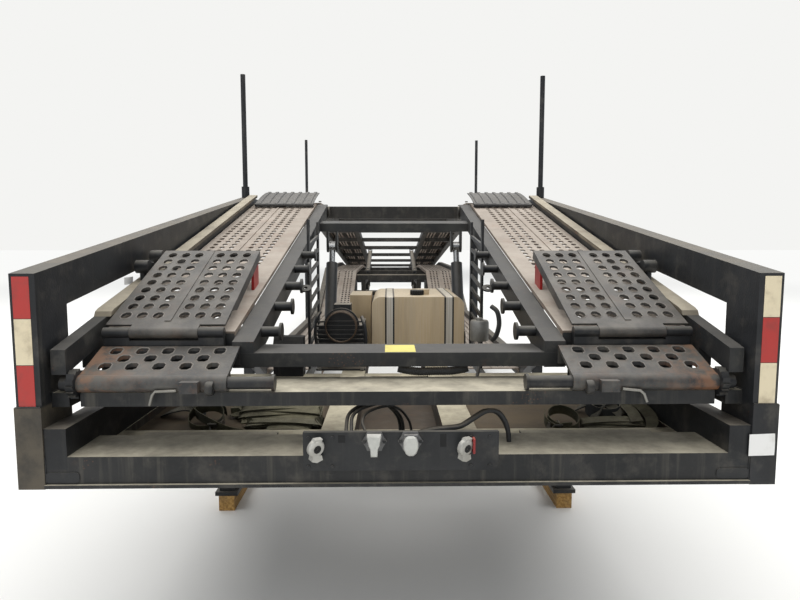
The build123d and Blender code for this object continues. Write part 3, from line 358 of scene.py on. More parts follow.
def steel(name, paint, faded, dust=0.8, rust=0.3, chips=0.2, rough=0.5, metal=0.0, dust_tone=DUST,
          rust_tone=RUST, patch_scale=3.0, gloss=0.28, drips=0.12, under=None, sleeve=None, low_shade_tone=None,
          outer_rust=0.0):
    """Worn painted steel: faded patches, grime, chips, rust, settled dust, and where asked painted shade on
    faces that look down and on dust low in the trays.
    """
    finish = Finish(name)
    colour = finish.blend(paint, faded, finish.mask(patches, Scale=patch_scale, From=0.38, To=0.68))
    grime = finish.mask(patches, Scale=11.0, From=0.5, To=0.72, Detail=7.0)
    colour = finish.blend(colour, SMUDGE, finish.scaled(grime, 0.35))
    colour = finish.blend(colour, dust_tone, finish.scaled(finish.mask(streaks, From=0.5, To=0.75), drips))
    rusty = finish.mask(patches, Scale=7.5, From=0.66 - 0.3 * rust, To=0.8 - 0.22 * rust, Detail=9.0)
    colour = finish.blend(colour, rust_tone, finish.scaled(rusty, rust))
    if sleeve:
        low = finish.ranged(finish.along("Z"), sleeve_top + 0.004, sleeve_top - 0.004)
        left = finish.ranged(finish.along("X"), 0.0, -1.0)
        broken = finish.lerp(0.35, 0.9, finish.mask(patches, Scale=9.0, From=0.35, To=0.65))
        colour = finish.blend(colour, sleeve, finish.times(finish.times(low, left), broken))
    if outer_rust:
        away = add_node(finish.tree, "ShaderNodeMath", {"operation": "ABSOLUTE"},
                        i0=finish.along("X")).outputs[0]
        broken = finish.mask(patches, Scale=17.0, From=0.42, To=0.6, Detail=9.0)
        grown = finish.times(finish.ranged(away, side_from, side_to, outer_rust), broken)
        colour = finish.blend(colour, BRIGHT_RUST, grown)
    colour = finish.blend(colour, rust_tone, finish.scaled(finish.mask(specks, Scale=95.0, Share=chips), 0.3))
    tone = dust_tone
    # Painted shade: dust low in the trays takes a darker tone.
    if low_shade_tone:
        low = finish.ranged(finish.along("Z"), floor_of_trays + 0.012, floor_of_trays)
        tone = finish.blend(dust_tone, low_shade_tone, low)
    dusty = finish.mask(settled_dust, Amount=dust)
    colour = finish.blend(colour, tone, dusty)
    # Painted shade: faces that look down take the under colour, darker than the steel.
    if under:
        colour = finish.blend(colour, under, finish.ranged(finish.along("Z", "Normal"), -0.2, -0.7))
    finish.shader.inputs["Specular IOR Level"].default_value = gloss
    finish.bump(140.0, 0.25, 0.002)
    return finish.feed(colour, finish.lerp(rough, 0.92, dusty), metal)


print("the sleeve ends at", sleeve_top, "m, and the trays' floor lies at", floor_of_trays, "m")

# %% Mix the steel finishes
black_steel = steel("black_steel", "1a1b1d", "292a2b", dust=0.5, rust=0.12, chips=0.05, rough=0.4,
                    dust_tone="6f6a60", drips=0.06)
post_steel = steel("post_steel", "1c1d1f", "2a2b2d", dust=0.5, rust=0.1, chips=0.05, rough=0.38,
                   dust_tone="7d7668", drips=0.07, sleeve="544d41")
rail_steel = steel("rail_steel", "17181a", "242628", dust=0.7, rust=0.1, chips=0.05, rough=0.4,
                   dust_tone="7f776a", drips=0.05)
beam_steel = steel("beam_steel", "1b1c1d", "2a2a2a", dust=1.0, rust=0.15, chips=0.08, rough=0.45,
                   dust_tone="aaa28f", drips=0.08)
ramp_steel = steel("ramp_steel", "202122", "333331", dust=0.6, rust=0.15, chips=0.1, rough=0.45,
                   dust_tone="605c56", drips=0.05)
coupler_steel = steel("coupler_steel", "231f1b", "352d25", dust=0.7, rust=0.5, chips=0.1, rough=0.7,
                      rust_tone="4a3527", dust_tone="4d4235")
deck_steel = steel("deck_steel", "262523", "3a3733", dust=0.75, rust=0.3, chips=0.1, rough=0.6,
                   rust_tone="4f3a2d", dust_tone="7a7264")
# The tread's under colour is painted shade on the undersides of the planks.
tread_steel = steel("tread_steel", "6f6256", "91867a", dust=0.6, rust=0.45, chips=0.15, rough=0.72,
                    rust_tone="6e4c38", dust_tone="aaa094", patch_scale=2.2, under="2c2723")
flap_steel = steel("flap_steel", "2c2b2a", "55514b", dust=0.33, rust=0.4, chips=0.3, rough=0.45,
                   rust_tone="553f30", dust_tone="6b6459", patch_scale=6.5, gloss=0.36, drips=0.2)
lip_steel = steel("lip_steel", "252628", "4f4d49", dust=0.28, rust=0.4, chips=0.3, rough=0.42,
                  rust_tone="5e422f", dust_tone="6a6255", patch_scale=7.0, gloss=0.36, drips=0.2,
                  outer_rust=0.85)
strip_steel = steel("strip_steel", "50493f", "7c7261", dust=0.95, rust=0.4, chips=0.15, rough=0.65,
                    dust_tone="a39a88")
# The neck's low tone is painted shade on the dust of the trays' floor.
neck_steel = steel("neck_steel", "332f29", "40382f", dust=1.0, rust=0.6, chips=0.1, rough=0.7,
                   rust_tone="5d3f2c", dust_tone="b2a992", low_shade_tone="5c503f")
dark_steel = steel("dark_steel", "111112", "1e1e1f", dust=0.5, rust=0.1, chips=0.05, rough=0.5,
                   dust_tone="5c5850")
rim_steel = steel("rim_steel", "4e4a45", "6f6a63", dust=0.5, rust=0.35, chips=0.1, rough=0.42,
                  rust_tone="5f4535", dust_tone="7b746a", gloss=0.4)
bridge_steel = steel("bridge_steel", "2b2b2c", "454443", dust=0.55, rust=0.2, chips=0.1, rough=0.5,
                     dust_tone="77726a")
bare_steel = steel("bare_steel", "8a8882", "66635c", dust=0.35, rust=0.3, chips=0.1, rough=0.38, metal=0.6)
cast_grey = steel("cast_grey", "8b8a86", "6f6d68", dust=0.35, rust=0.15, chips=0.1, rough=0.5, metal=0.4)
chrome_rod = steel("chrome_rod", "a9a9a9", "8f8f8d", dust=0.3, rust=0.05, chips=0.05, rough=0.2, metal=0.95)
bright_cast = steel("bright_cast", "cfcec9", "97958e", dust=0.25, rust=0.06, chips=0.1, rough=0.34,
                    metal=0.35)
flange_grey = steel("flange_grey", "77777a", "5c5c5b", dust=0.3, rust=0.1, chips=0.1, rough=0.5, metal=0.3)
ring_brown = steel("ring_brown", "4a3c30", "5e4d3e", dust=0.3, rust=0.4, chips=0.1, rough=0.6)
print("finishes of steel:", len(bpy.data.materials) - 1)

# %% [markdown]
# ## Finishes of the other materials
# Rubber is dark and matt with dust in its hollows. The tank is spun aluminium under a coat of
# tan road dust that has run in vertical streaks. The timbers show long grain. The red props are
# plain gloss paint, and the straps are woven. Each is a few nodes from the same groups.

# %% Write the other recipes
def rubber(name, base, worn, dust=0.5, scale=40.0):
    """Matt rubber with a dusty bloom."""
    finish = Finish(name)
    colour = finish.blend(base, worn, finish.mask(patches, Scale=6.0, From=0.35, To=0.7))
    dusty = finish.mask(settled_dust, Amount=dust, Scale=14.0)
    finish.bump(scale, 0.3, 0.003)
    return finish.feed(finish.blend(colour, DUST, dusty), finish.lerp(0.6, 0.95, dusty), 0.0)


def tank_metal(name, metal_tone, dust_tone, cover):
    """Aluminium under dust that has run down in fine streaks."""
    finish = Finish(name)
    fine = finish.mask(streaks, Stretch=(90.0, 90.0, 2.0), From=0.3, To=0.72)
    broad = finish.mask(streaks, Stretch=(14.0, 14.0, 1.2), From=0.35, To=0.7)
    colour = finish.blend(metal_tone, dust_tone, finish.lerp(cover, 1.0, fine))
    colour = finish.blend(colour, "9a8565", finish.scaled(broad, 0.3))
    colour = finish.blend(colour, "a89c86", finish.mask(settled_dust, Amount=0.7))
    finish.bump(220.0, 0.15, 0.001)
    return finish.feed(colour, finish.lerp(0.38, 0.7, fine), finish.lerp(0.75, 0.1, fine))


def timber(name, light, dark, along):
    """Sawn softwood with its grain along one axis."""
    finish = Finish(name)
    stretch = tuple(3.0 if axis == along else 70.0 for axis in "XYZ")
    grain = finish.mask(streaks, Stretch=stretch, From=0.35, To=0.65)
    colour = finish.blend(light, dark, grain)
    colour = finish.blend(colour, "6d5a40", finish.scaled(finish.mask(patches, Scale=9.0), 0.5))
    finish.bump(grain, 0.4, 0.003)
    return finish.feed(colour, 0.8, 0.0)


def paint(name, base, worn, rough=0.4, dust=0.3):
    """Plain paint with a little wear."""
    finish = Finish(name)
    colour = finish.blend(base, worn, finish.mask(patches, Scale=14.0, From=0.45, To=0.8))
    dusty = finish.mask(settled_dust, Amount=dust)
    finish.bump(160.0, 0.12, 0.001)
    return finish.feed(finish.blend(colour, DUST, dusty), finish.lerp(rough, 0.85, dusty), 0.0)


def webbing_cloth(name, base, worn):
    """Woven strap: fine cross threads over a dusty, faded colour."""
    finish = Finish(name)
    colour = finish.blend(base, worn, finish.mask(patches, Scale=8.0, From=0.35, To=0.65))
    threads = finish.mask(streaks, Stretch=(420.0, 420.0, 420.0), From=0.4, To=0.6)
    colour = finish.blend(colour, "22201a", finish.scaled(threads, 0.35))
    colour = finish.blend(colour, "857d66", finish.mask(settled_dust, Amount=0.45, Scale=16.0))
    finish.bump(threads, 0.5, 0.001)
    return finish.feed(colour, 0.9, 0.0)


print("recipes:", [recipe.__name__ for recipe in (rubber, tank_metal, timber, paint, webbing_cloth)])

# %% Mix rubber, tank metal, timber, paint and cloth
tyre_rubber = rubber("tyre_rubber", "1b1b1b", "2c2b29", dust=0.6)
hose_black = rubber("hose_black", "1d1e1f", "2f3031", dust=0.35, scale=90.0)
band_black = rubber("band_black", "121212", "1e1d1c", dust=0.3)
webbing = webbing_cloth("webbing", "3d3b2a", "5c5941")
webbing_dark = webbing_cloth("webbing_dark", "232527", "3a3b3a")
strap_metal = tank_metal("strap_metal", "d6d4ce", "b4ac9c", 0.1)
tank_skin = tank_metal("tank_skin", "cfc3ad", "c4ae8c", 0.55)
box_skin = tank_metal("box_skin", "bfb198", "b8a484", 0.7)
sawn_timber = timber("sawn_timber", "b08a4e", "86642f", "Y")
prop_red = paint("prop_red", "8f1411", "6d1512", rough=0.35)
machine_black = paint("machine_black", "17191b", "2a2b2c", rough=0.45, dust=0.55)
lamp_red = paint("lamp_red", "a01612", "7c120f", rough=0.2)
wheel_white = paint("wheel_white", "8d8c88", "6b6862", rough=0.45, dust=0.6)
cover_grey = paint("cover_grey", "b4b4ae", "96958f", rough=0.45, dust=0.25)
# Black for the couplings' rubber seals, and for painted shade in the panel's slots and the couplings' bores.
seal_and_shade_black = paint("seal_and_shade_black", "0b0b0b", "151515", rough=0.8, dust=0.1)
tape_red = paint("tape_red", "a52a24", "86302b", rough=0.3, dust=0.1)
tape_white = paint("tape_white", "d3c6a8", "a89a80", rough=0.35, dust=0.1)
paper_white = paint("paper_white", "dfdedb", "c4c2bc", rough=0.7, dust=0.1)
label_yellow = paint("label_yellow", "d2c35c", "b8a850", rough=0.5, dust=0.15)
print("all the finishes:", len(bpy.data.materials) - 1)

# %% Give every CAD node its finish
finish_table = [
    (post_steel, "corner_posts"),
    (beam_steel, "front_beam front_sill"),
    (rail_steel, "upper_side_rails side_posts lower_side_rails"),
    (ramp_steel, "front_deck_frame"),
    (black_steel, "connector_panel guide_poles lock_ladders tail_beam landing_legs tie_pegs "
                  "tie_down_winches flap_hinges"),
    (deck_steel, "platform_frame rear_deck_frame lower_cross_members subframe lift_feet deck_pivots "
                 "leaf_springs axles"),
    (coupler_steel, "coupler"),
    (dark_steel, "bridge_plates belt_guard"),
    (tread_steel, "front_runways platform_runways rear_runways lower_runways"),
    (flap_steel, "flap_left flap_right"),
    (lip_steel, "lip_plates"),
    (strip_steel, "outer_strips"),
    (neck_steel, "neck_frame"),
    (machine_black, "power_unit front_lift_barrels rear_lift_barrels"),
    (chrome_rod, "front_lift_rods rear_lift_rods"),
    (cast_grey, "air_couplings electric_sockets"),
    (tank_skin, "tank"),
    (box_skin, "side_box"),
    (strap_metal, "tank_straps"),
    (sawn_timber, "timber_blocks"),
    (prop_red, "flap_props"),
    (lamp_red, "tail_lamps"),
    (tyre_rubber, "mud_flaps tyres_1_left tyres_1_right tyres_2_left tyres_2_right"),
    (wheel_white, "wheel_1_left wheel_1_right wheel_2_left wheel_2_right"),
]
dressed = 0
for material, names in finish_table:
    for name in names.split():
        mesh = nodes[name].data
        mesh.materials.clear()
        mesh.materials.append(material)
        dressed += 1
print("nodes with a finish:", dressed, "of", len(nodes))

# %% [markdown]
# ## Tools for small pieces
# Every small piece is a mesh built from a few kinds of form: a box with softened edges, a plate
# with one outline, a round bar, a turned ring and a tube along a path. Nearly all of them are a
# skin over rings of points. Each form is added to one bmesh, so a piece with many parts is still
# one mesh. The normals are made to point outwards at the end, and the piece is tied to the body
# that carries it.

# %% Write the form helpers
def add_box(bm, x0, x1, s0, s1, h0, h1, soft=0.0):
    """A box between two offsets, stations and heights in mm, with softened edges."""
    made = bmesh.ops.create_cube(bm, size=1.0)["verts"]
    low, high = spot(min(x0, x1), min(s0, s1), min(h0, h1)), spot(max(x0, x1), max(s0, s1), max(h0, h1))
    middle, size = (low + high) / 2, high - low
    for vert in made:
        vert.co = middle + vert.co * size
    if soft:
        edges = list({edge for vert in made for edge in vert.link_edges})
        bmesh.ops.bevel(bm, geom=edges, offset=soft / 1000, segments=2, profile=0.6, affect="EDGES")
    return made


def add_loft(bm, rings, closed=False):
    """A skin over rings of points, with flat caps unless it closes on itself."""
    rows = [[bm.verts.new(point) for point in ring] for ring in rings]
    count = len(rows[0])
    pairs = list(zip(rows, rows[1:])) + ([(rows[-1], rows[0])] if closed else [])
    for first, second in pairs:
        for i in range(count):
            bm.faces.new((first[i], first[(i + 1) % count], second[(i + 1) % count], second[i]))
    if not closed:
        bm.faces.new(list(reversed(rows[0])))
        bm.faces.new(rows[-1])
    return [vert for row in rows for vert in row]


def add_plate(bm, outline, x0, x1):
    """A plate with one outline of (station, height) points, between two offsets."""
    return add_loft(bm, [[spot(x, s, h) for s, h in outline] for x in (x0, x1)])


def add_front(bm, outline, layers, x=0, z=0):
    """A form that faces front: (offset, height) points about a place, layers of (station, share of size)."""
    return add_loft(bm, [[spot(x + a * size, s, z + b * size) for a, b in outline] for s, size in layers])


def around(count, start=0.0):
    """The cosine and sine of evenly spaced angles."""
    angles = [start + 2 * math.pi * k / count for k in range(count)]
    return [(math.cos(angle), math.sin(angle)) for angle in angles]


def run_at(points, i):
    """The way a path runs at one of its points."""
    return (points[min(i + 1, len(points) - 1)] - points[max(i - 1, 0)]).normalized()


def add_tube(bm, points, radius, sides=12):
    """A round tube along points in metres, turned with the path; the radius may change along it."""
    points = [Vector(point) for point in points]
    radii = radius if isinstance(radius, (list, tuple)) else [radius] * len(points)
    run = (points[1] - points[0]).normalized()
    side = run.orthogonal().normalized()
    rings = []
    for i, point in enumerate(points):
        now = run_at(points, i)
        side = (run.rotation_difference(now) @ side).normalized()
        run, other = now, now.cross(side).normalized()
        rings.append([point + radii[i] / 1000 * (a * side + b * other) for a, b in around(sides)])
    return add_loft(bm, rings)


def add_bar(bm, radius, start, end, sides=16):
    """A straight round bar between two (offset, station, height) places in mm."""
    return add_tube(bm, [spot(*start), spot(*end)], radius, sides)


def add_turned(bm, profile, place, sides=24, axis="X"):
    """A closed turned form: (radius, reach) points in mm about an axis through a place."""
    rings = []
    for cos, sin in around(sides):
        ring = []
        for radius, reach in profile:
            a, b = radius * cos, radius * sin
            x, s, h = {"X": (reach, a, b), "Y": (a, reach, b), "Z": (a, b, reach)}[axis]
            ring.append(spot(place[0] + x, place[1] + s, place[2] + h))
        rings.append(ring)
    return add_loft(bm, rings, closed=True)


def add_mirror(bm):
    """A copy of all that a bmesh holds, on the other hand, with its faces still outwards."""
    copy = bmesh.ops.duplicate(bm, geom=bm.verts[:] + bm.edges[:] + bm.faces[:])["geom"]
    for item in copy:
        if isinstance(item, bmesh.types.BMVert):
            item.co.x = -item.co.x
    bmesh.ops.reverse_faces(bm, faces=[item for item in copy if isinstance(item, bmesh.types.BMFace)])


def fill_boxes(*boxes, soft=0.0):
    """A filling function for boxes, each given as two offsets, two stations and two heights."""
    def fill(bm):
        for box in boxes:
            add_box(bm, *box, soft)
    return fill


def mirrored(fill):
    """A filling function for one side, and the same form on the other side."""
    def fill_both(bm):
        fill(bm)
        add_mirror(bm)
    return fill_both


print("form helpers are ready")

# %% Write the helpers that finish a piece
sharp_angle = math.radians(38)


def mesh_from(bm, name):
    """A mesh from a bmesh, which is then freed."""
    mesh = bpy.data.meshes.new(name)
    bm.to_mesh(mesh)
    bm.free()
    return mesh


def finish_piece(name, mesh, material, body, replaced=()):
    """Turn a finished mesh into a piece that rides on a body and has a slot."""
    piece = bpy.data.objects.new(name, mesh)
    scene.collection.objects.link(piece)
    mesh.materials.clear()
    mesh.materials.append(material)
    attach(piece, body)
    if replaced:
        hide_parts(*replaced)
    return piece


def make_piece(name, fill, material, body, replaced=(), smooth=False):
    """Build one mesh with a filling function and finish it."""
    bm = bmesh.new()
    fill(bm)
    bm.normal_update()
    bmesh.ops.recalc_face_normals(bm, faces=bm.faces)
    for face in bm.faces:
        face.smooth = smooth
    mesh = mesh_from(bm, name)
    if smooth:
        mesh.set_sharp_from_angle(angle=sharp_angle)
    return finish_piece(name, mesh, material, body, replaced)


print("smooth pieces keep edges sharper than", round(math.degrees(sharp_angle)), "degrees")

# %% [markdown]
# ## Perforated planks
# The runways are steel planks with three columns of punched holes on each side of a low rib. The
# plank has the same pattern from nose to tail, so Geometry Nodes lays it: one tile with one hole
# is set on a grid of points for each field of holes, then realized and welded. The tile has few
# faces, because it is repeated hundreds of times. The plain margins and the folded edges are
# ordinary strips. The finished plank is bent onto its deck's line point by point.

# %% Make one tile with its hole
column_pitch, row_pitch, plank_columns = 56.5, 72.0, 3
hole_across, hole_along = 30.0, 44.0
plank_thick, rib_half, rib_rise = 8.0, 5, 5
field_offset = 113.5
field_half = plank_columns / 2 * column_pitch


def cut_square(cut, across=1.0, along=1.0):
    """The eight corners of a rectangle with cut corners, from shares of its half sizes."""
    return [(a * across, b * along) for a, b in ((1, -cut), (1, cut), (cut, 1), (-cut, 1),
                                                 (-1, cut), (-1, -cut), (-cut, -1), (cut, -1))]


hole_outline = [(0.5, -0.22), (0.5, 0.22), (0.24, 0.5), (-0.24, 0.5),
                (-0.5, 0.22), (-0.5, -0.22), (-0.24, -0.5), (0.24, -0.5)]
tile_outline = [(0.5, -0.2), (0.5, 0.2), (0.3, 0.5), (-0.3, 0.5),
                (-0.5, 0.2), (-0.5, -0.2), (-0.3, -0.5), (0.3, -0.5)]
tile_corners = [(0.5, 0.5), (-0.5, 0.5), (-0.5, -0.5), (0.5, -0.5)]


def tile_mesh():
    """A tile in metres, flat on its local ground, with an eight-sided hole and its walls."""
    bm = bmesh.new()

    def ring(outline, across, along, height):
        return [bm.verts.new(Vector((a * across, b * along, height)) / 1000) for a, b in outline]

    rims = []
    for height in (0.0, -plank_thick):
        hole = ring(hole_outline, hole_across, hole_along, height)
        edge = ring(tile_outline, column_pitch, row_pitch, height)
        corner = ring(tile_corners, column_pitch, row_pitch, height)
        for i in range(8):
            j = (i + 1) % 8
            bm.faces.new((hole[i], hole[j], edge[j], edge[i]))
        for k, i in enumerate((1, 3, 5, 7)):
            bm.faces.new((edge[i], edge[(i + 1) % 8], corner[k]))
        rims.append(hole)
    for i in range(8):
        j = (i + 1) % 8
        bm.faces.new((rims[0][i], rims[0][j], rims[1][j], rims[1][i]))
    bmesh.ops.recalc_face_normals(bm, faces=bm.faces)
    top = max(bm.faces, key=lambda face: face.calc_center_median().z)
    if top.normal.z < 0:
        bmesh.ops.reverse_faces(bm, faces=bm.faces)
    return mesh_from(bm, "plank_tile")


plank_tile = tile_mesh()
print("faces in a tile:", len(plank_tile.polygons))

# %% Grow the node tree that lays the tiles
GEOMETRY, WHOLE, MATERIAL = "NodeSocketGeometry", "NodeSocketInt", "NodeSocketMaterial"


def new_tree(name, *inputs):
    """An empty tree that takes a mesh, named inputs and a material, and gives a mesh."""
    tree = bpy.data.node_groups.new(name, "GeometryNodeTree")
    for label, kind, value in (("Geometry", GEOMETRY, None), *inputs, ("Material", MATERIAL, None)):
        socket = tree.interface.new_socket(label, in_out="INPUT", socket_type=kind)
        if value is not None:
            socket.default_value = value
    tree.interface.new_socket("Geometry", in_out="OUTPUT", socket_type=GEOMETRY)
    return tree, tree.nodes.new("NodeGroupInput").outputs, tree.nodes.new("NodeGroupOutput").inputs[0]


def end_tree(tree, start, end, laid, weld=None):
    """Realize what was laid, weld it where asked, and paint it."""
    solid = add_node(tree, "GeometryNodeRealizeInstances", Geometry=laid)
    if weld:
        solid = add_node(tree, "GeometryNodeMergeByDistance", Geometry=solid.outputs[0], Distance=weld)
    painted = add_node(tree, "GeometryNodeSetMaterial", Geometry=solid.outputs[0], Material=start["Material"])
    tree.links.new(painted.outputs[0], end)
    return tree


def field_tree():
    """Two fields of tiles beside a rib: a grid of points for each, and a tile on each point."""
    tree, start, end = new_tree(
        "hole_fields", ("Column Pitch", FLOAT, column_pitch / 1000), ("Row Pitch", FLOAT, row_pitch / 1000),
        ("Columns", WHOLE, plank_columns), ("Rows", WHOLE, 10), ("Field Offset", FLOAT, field_offset / 1000))

    def span(count, pitch):
        return joined(tree, "MULTIPLY", joined(tree, "SUBTRACT", start[count], 1.0), start[pitch])

    grid = add_node(tree, "GeometryNodeMeshGrid", Size_X=span("Columns", "Column Pitch"),
                    Size_Y=span("Rows", "Row Pitch"), Vertices_X=start["Columns"], Vertices_Y=start["Rows"])
    fields = tree.nodes.new("GeometryNodeJoinGeometry")
    for sign in (-1.0, 1.0):
        shift = joined(tree, "MULTIPLY", start["Field Offset"], sign)
        place = add_node(tree, "ShaderNodeCombineXYZ", X=shift)
        moved = add_node(tree, "GeometryNodeSetPosition", Geometry=grid.outputs["Mesh"],
                         Offset=place.outputs[0])
        tree.links.new(moved.outputs[0], fields.inputs[0])
    laid = add_node(tree, "GeometryNodeInstanceOnPoints", Points=fields.outputs[0],
                    Instance=start["Geometry"])
    return end_tree(tree, start, end, laid.outputs[0], weld=0.0005)


def grown_mesh(name, base_mesh, tree, values):
    """The plain mesh that a node tree makes from a base mesh, with its inputs set by identifier."""
    carrier = bpy.data.objects.new(name, base_mesh)
    scene.collection.objects.link(carrier)
    modifier = carrier.modifiers.new("grow", "NODES")
    modifier.node_group = tree
    sockets = {item.name: item.identifier for item in tree.interface.items_tree if item.in_out == "INPUT"}
    for label, value in values.items():
        modifier[sockets[label]] = value
    view = bpy.context.evaluated_depsgraph_get()
    mesh = bpy.data.meshes.new_from_object(carrier.evaluated_get(view), preserve_all_data_layers=True,
                                           depsgraph=view)
    carrier.modifiers.remove(modifier)
    bpy.data.objects.remove(carrier)
    return mesh


hole_fields = field_tree()
print("nodes of the tree:", len(hole_fields.nodes))

# %% Write how a plank is laid
bare_end = 60.0  # the least plain length at both ends of a plank, together


def path_lengths(path):
    """The length of each stretch of a path of (station, height) points."""
    return [math.dist(*ends) for ends in zip(path, path[1:])]


def path_place(path, distance):
    """Station, height and slope at a distance along a path of (station, height) points."""
    for (s0, h0), (s1, h1) in zip(path, path[1:]):
        length = math.dist((s0, h0), (s1, h1))
        if distance <= length or (s1, h1) == path[-1]:
            share = distance / length
            return s0 + share * (s1 - s0), h0 + share * (h1 - h0), math.atan2(h1 - h0, s1 - s0)
        distance -= length
    return None


def add_strip(bm, x0, x1, top, bottom, stops):
    """A flat strip in mm that runs along a plank, with a ring of points at each stop."""
    section = ((x0, top), (x1, top), (x1, bottom), (x0, bottom))
    add_loft(bm, [[Vector((x / 1000, stop / 1000, z / 1000)) for x, z in section] for stop in stops])


def add_margins(bm, x0, x1, middle, flange, length, rows, bends):
    """The plain margins, the rib, the folded edges and the plain ends of a flat plank."""
    near, far, under = field_offset - field_half, field_offset + field_half, -plank_thick
    stops = sorted({0.0, length, *bends})
    rib = (middle - rib_half, middle + rib_half, rib_rise, 0)
    for a, b, top, bottom in ((x0, middle - far, 0, under), (middle - near, middle + near, 0, under),
                              (middle + far, x1, 0, under), rib,
                              (x0, x0 + plank_thick, under, -flange), (x1 - plank_thick, x1, under, -flange)):
        add_strip(bm, a, b, top, bottom, stops)
    end = (length - rows * row_pitch) / 2
    for stops in ((0, end), (length - end, length)):
        for a, b in ((middle - far, middle - near), (middle + near, middle + far)):
            add_strip(bm, a, b, 0, under, stops)


def laid_plank(name, path, x0, x1, middle, flange, body, node):
    """A pair of perforated planks on a deck's path, one on each hand."""
    stretches = path_lengths(path)
    length = sum(stretches)
    rows = int((length - bare_end) // row_pitch)
    fields = grown_mesh(name + "_fields", plank_tile, hole_fields, {"Rows": rows, "Material": tread_steel})
    bm = bmesh.new()
    bm.from_mesh(fields)
    for vert in bm.verts:
        vert.co.x += middle / 1000
        vert.co.y += length / 2 / 1000
    bends = [sum(stretches[:k]) for k in range(1, len(stretches))]
    add_margins(bm, x0, x1, middle, flange, length, rows, bends)
    for vert in bm.verts:
        station, height, slope = path_place(path, max(0.0, vert.co.y * 1000))
        rise = vert.co.z * 1000
        vert.co = spot(vert.co.x * 1000, station - rise * math.sin(slope), height + rise * math.cos(slope))
    add_mirror(bm)
    mesh = mesh_from(bm, name)
    bpy.data.meshes.remove(fields)
    finish_piece(name, mesh, tread_steel, body, (node,))
    print(name, "rows:", rows, "faces:", len(mesh.polygons))


print("a plank is", plank_thick, "mm thick, and its fields are", 2 * field_half, "mm wide")

# %% Lay the planks on their decks
ramp_foot, ramp_crest = (300, 1212), (3060, 1888)
platform_height, belly_height, hump_height, tail_height = 1900, 430, 1040, 640
hump_end, tail_end = 12150, 16000
rear_end, rear_tip = 15898, 840.7


def line_at(start, end, station):
    """The height at a station of the line through two (station, height) points."""
    return start[1] + (end[1] - start[1]) / (end[0] - start[0]) * (station - start[0])


def ramp_at(station):
    """Tread height of the front ramp."""
    return line_at(ramp_foot, ramp_crest, station)


tail_line = ((hump_end, hump_height), (tail_end, tail_height))
rear_drop = 0.014 * (platform_height - rear_tip)
planks = (  # name, line, inner and outer edge, middle of the fields, flange, body, node
    ("plank_front", [(s, ramp_at(s)) for s in (301, 2983)], 632, 1132, 909, 18, "front_deck",
     "front_runways"),
    ("plank_platform", [(s, platform_height) for s in (3332, 7848)], 636, 1099, 867.5, 45, "root",
     "platform_runways"),
    ("plank_lower", [(3302, belly_height), (7450, belly_height), (9000, hump_height),
                     (hump_end, hump_height), (15880, line_at(*tail_line, 15880))], 636, 1129, 882.5, 50,
     "root", "lower_runways"),
    ("plank_rear", [(8012, platform_height - rear_drop), (rear_end - 8, rear_tip + 1.3)], 632, 1099, 866, 40,
     "rear_deck", "rear_runways"),
)
for plank in planks:
    laid_plank(*plank)
print("pairs of planks:", len(planks))

# %% [markdown]
# ## Rims round the punched holes
# The punch left a low rim round each hole of the flaps and the lips, and its worn edge catches
# the light. A rim is one ring with a five-sided section. The tree that laid the tiles also lays a
# flap's rims, with other pitches. A lip has few holes, so its rims are set one by one.

# %% Set the rims of the flaps and the lips
flap_slope, flap_hinge, flap_upper, flap_plate = math.radians(22.8), (270, 1212), 21.0, 8.0
flap_middle, flap_first_row, flap_rows, flap_columns = 889.5, 92.0, 9, 3
flap_pitch, flap_row_pitch, flap_field = 62.0, 72.0, 112.44
lip_line, lip_middle, lip_pitch = ((70, 1095.3), (246, 1165)), 856.0, 95.0
lip_rows = ((118, 5), (166, 4), (214, 5))
flap_hole, lip_hole = (0.42, 19.0, 24.0), (0.524, 21.0, 21.0)  # cut of the corners, half sizes
rim_section = ((-0.6, -1.2), (-0.6, 0.9), (0.6, 1.8), (2.4, 1.6), (4.4, -0.4))


def rim_rings(cut, across, along):
    """Rings of (across, along, lift) round an eight-sided hole; each stands a little further out."""
    return [[(a, b, up) for a, b in cut_square(cut, across + out, along + out)] for out, up in rim_section]


def rim_fields():
    """All the rims of one flap, flat and in metres, about the middle of its holes."""
    bm = bmesh.new()
    add_loft(bm, [[Vector(point) / 1000 for point in ring] for ring in rim_rings(*flap_hole)], closed=True)
    return grown_mesh("flap_rim_fields", mesh_from(bm, "flap_rim"), hole_fields, {
        "Column Pitch": flap_pitch / 1000, "Row Pitch": flap_row_pitch / 1000, "Columns": flap_columns,
        "Rows": flap_rows, "Field Offset": flap_field / 1000, "Material": rim_steel})


def fill_flap_rims(side):
    """The rims of the flap on one hand, laid on its slope."""
    def fill(bm):
        bm.from_mesh(flap_rims)
        rise, run = math.sin(flap_slope), math.cos(flap_slope)
        middle = flap_first_row + (flap_rows - 1) / 2 * flap_row_pitch + flap_plate * math.tan(flap_slope)
        for vert in bm.verts:
            across, along, up = (start + 1000 * value for start, value in
                                 zip((flap_middle, middle, flap_upper), vert.co))
            vert.co = spot(side * across, flap_hinge[0] + along * run - up * rise,
                           flap_hinge[1] + along * rise + up * run)
    return fill


def fill_lip_rims(bm):
    """The rims of one lip, each ring on the lip's slope."""
    for station, count in lip_rows:
        for column in range(count):
            x = lip_middle + (column - (count - 1) / 2) * lip_pitch
            add_loft(bm, [[spot(x + a, station + b, line_at(*lip_line, station + b) + up)
                           for a, b, up in ring] for ring in rim_rings(*lip_hole)], closed=True)


flap_rims = rim_fields()
for side, hand in ((-1, "left"), (1, "right")):
    made = make_piece(f"flap_rims_{hand}", fill_flap_rims(side), rim_steel, f"flap_{hand}")
make_piece("lip_rims", mirrored(fill_lip_rims), rim_steel, "front_deck")
print("faces of a flap's rims:", len(made.data.polygons))

# %% [markdown]
# ## Treaded tyres
# The CAD tyres are plain rings. A tread is a pattern that turns round the wheel: four grooves run
# round it, and the shoulder blocks are parted by short notches. Each ring of the loft is one
# angular step, and of every four steps two sink the shoulders.

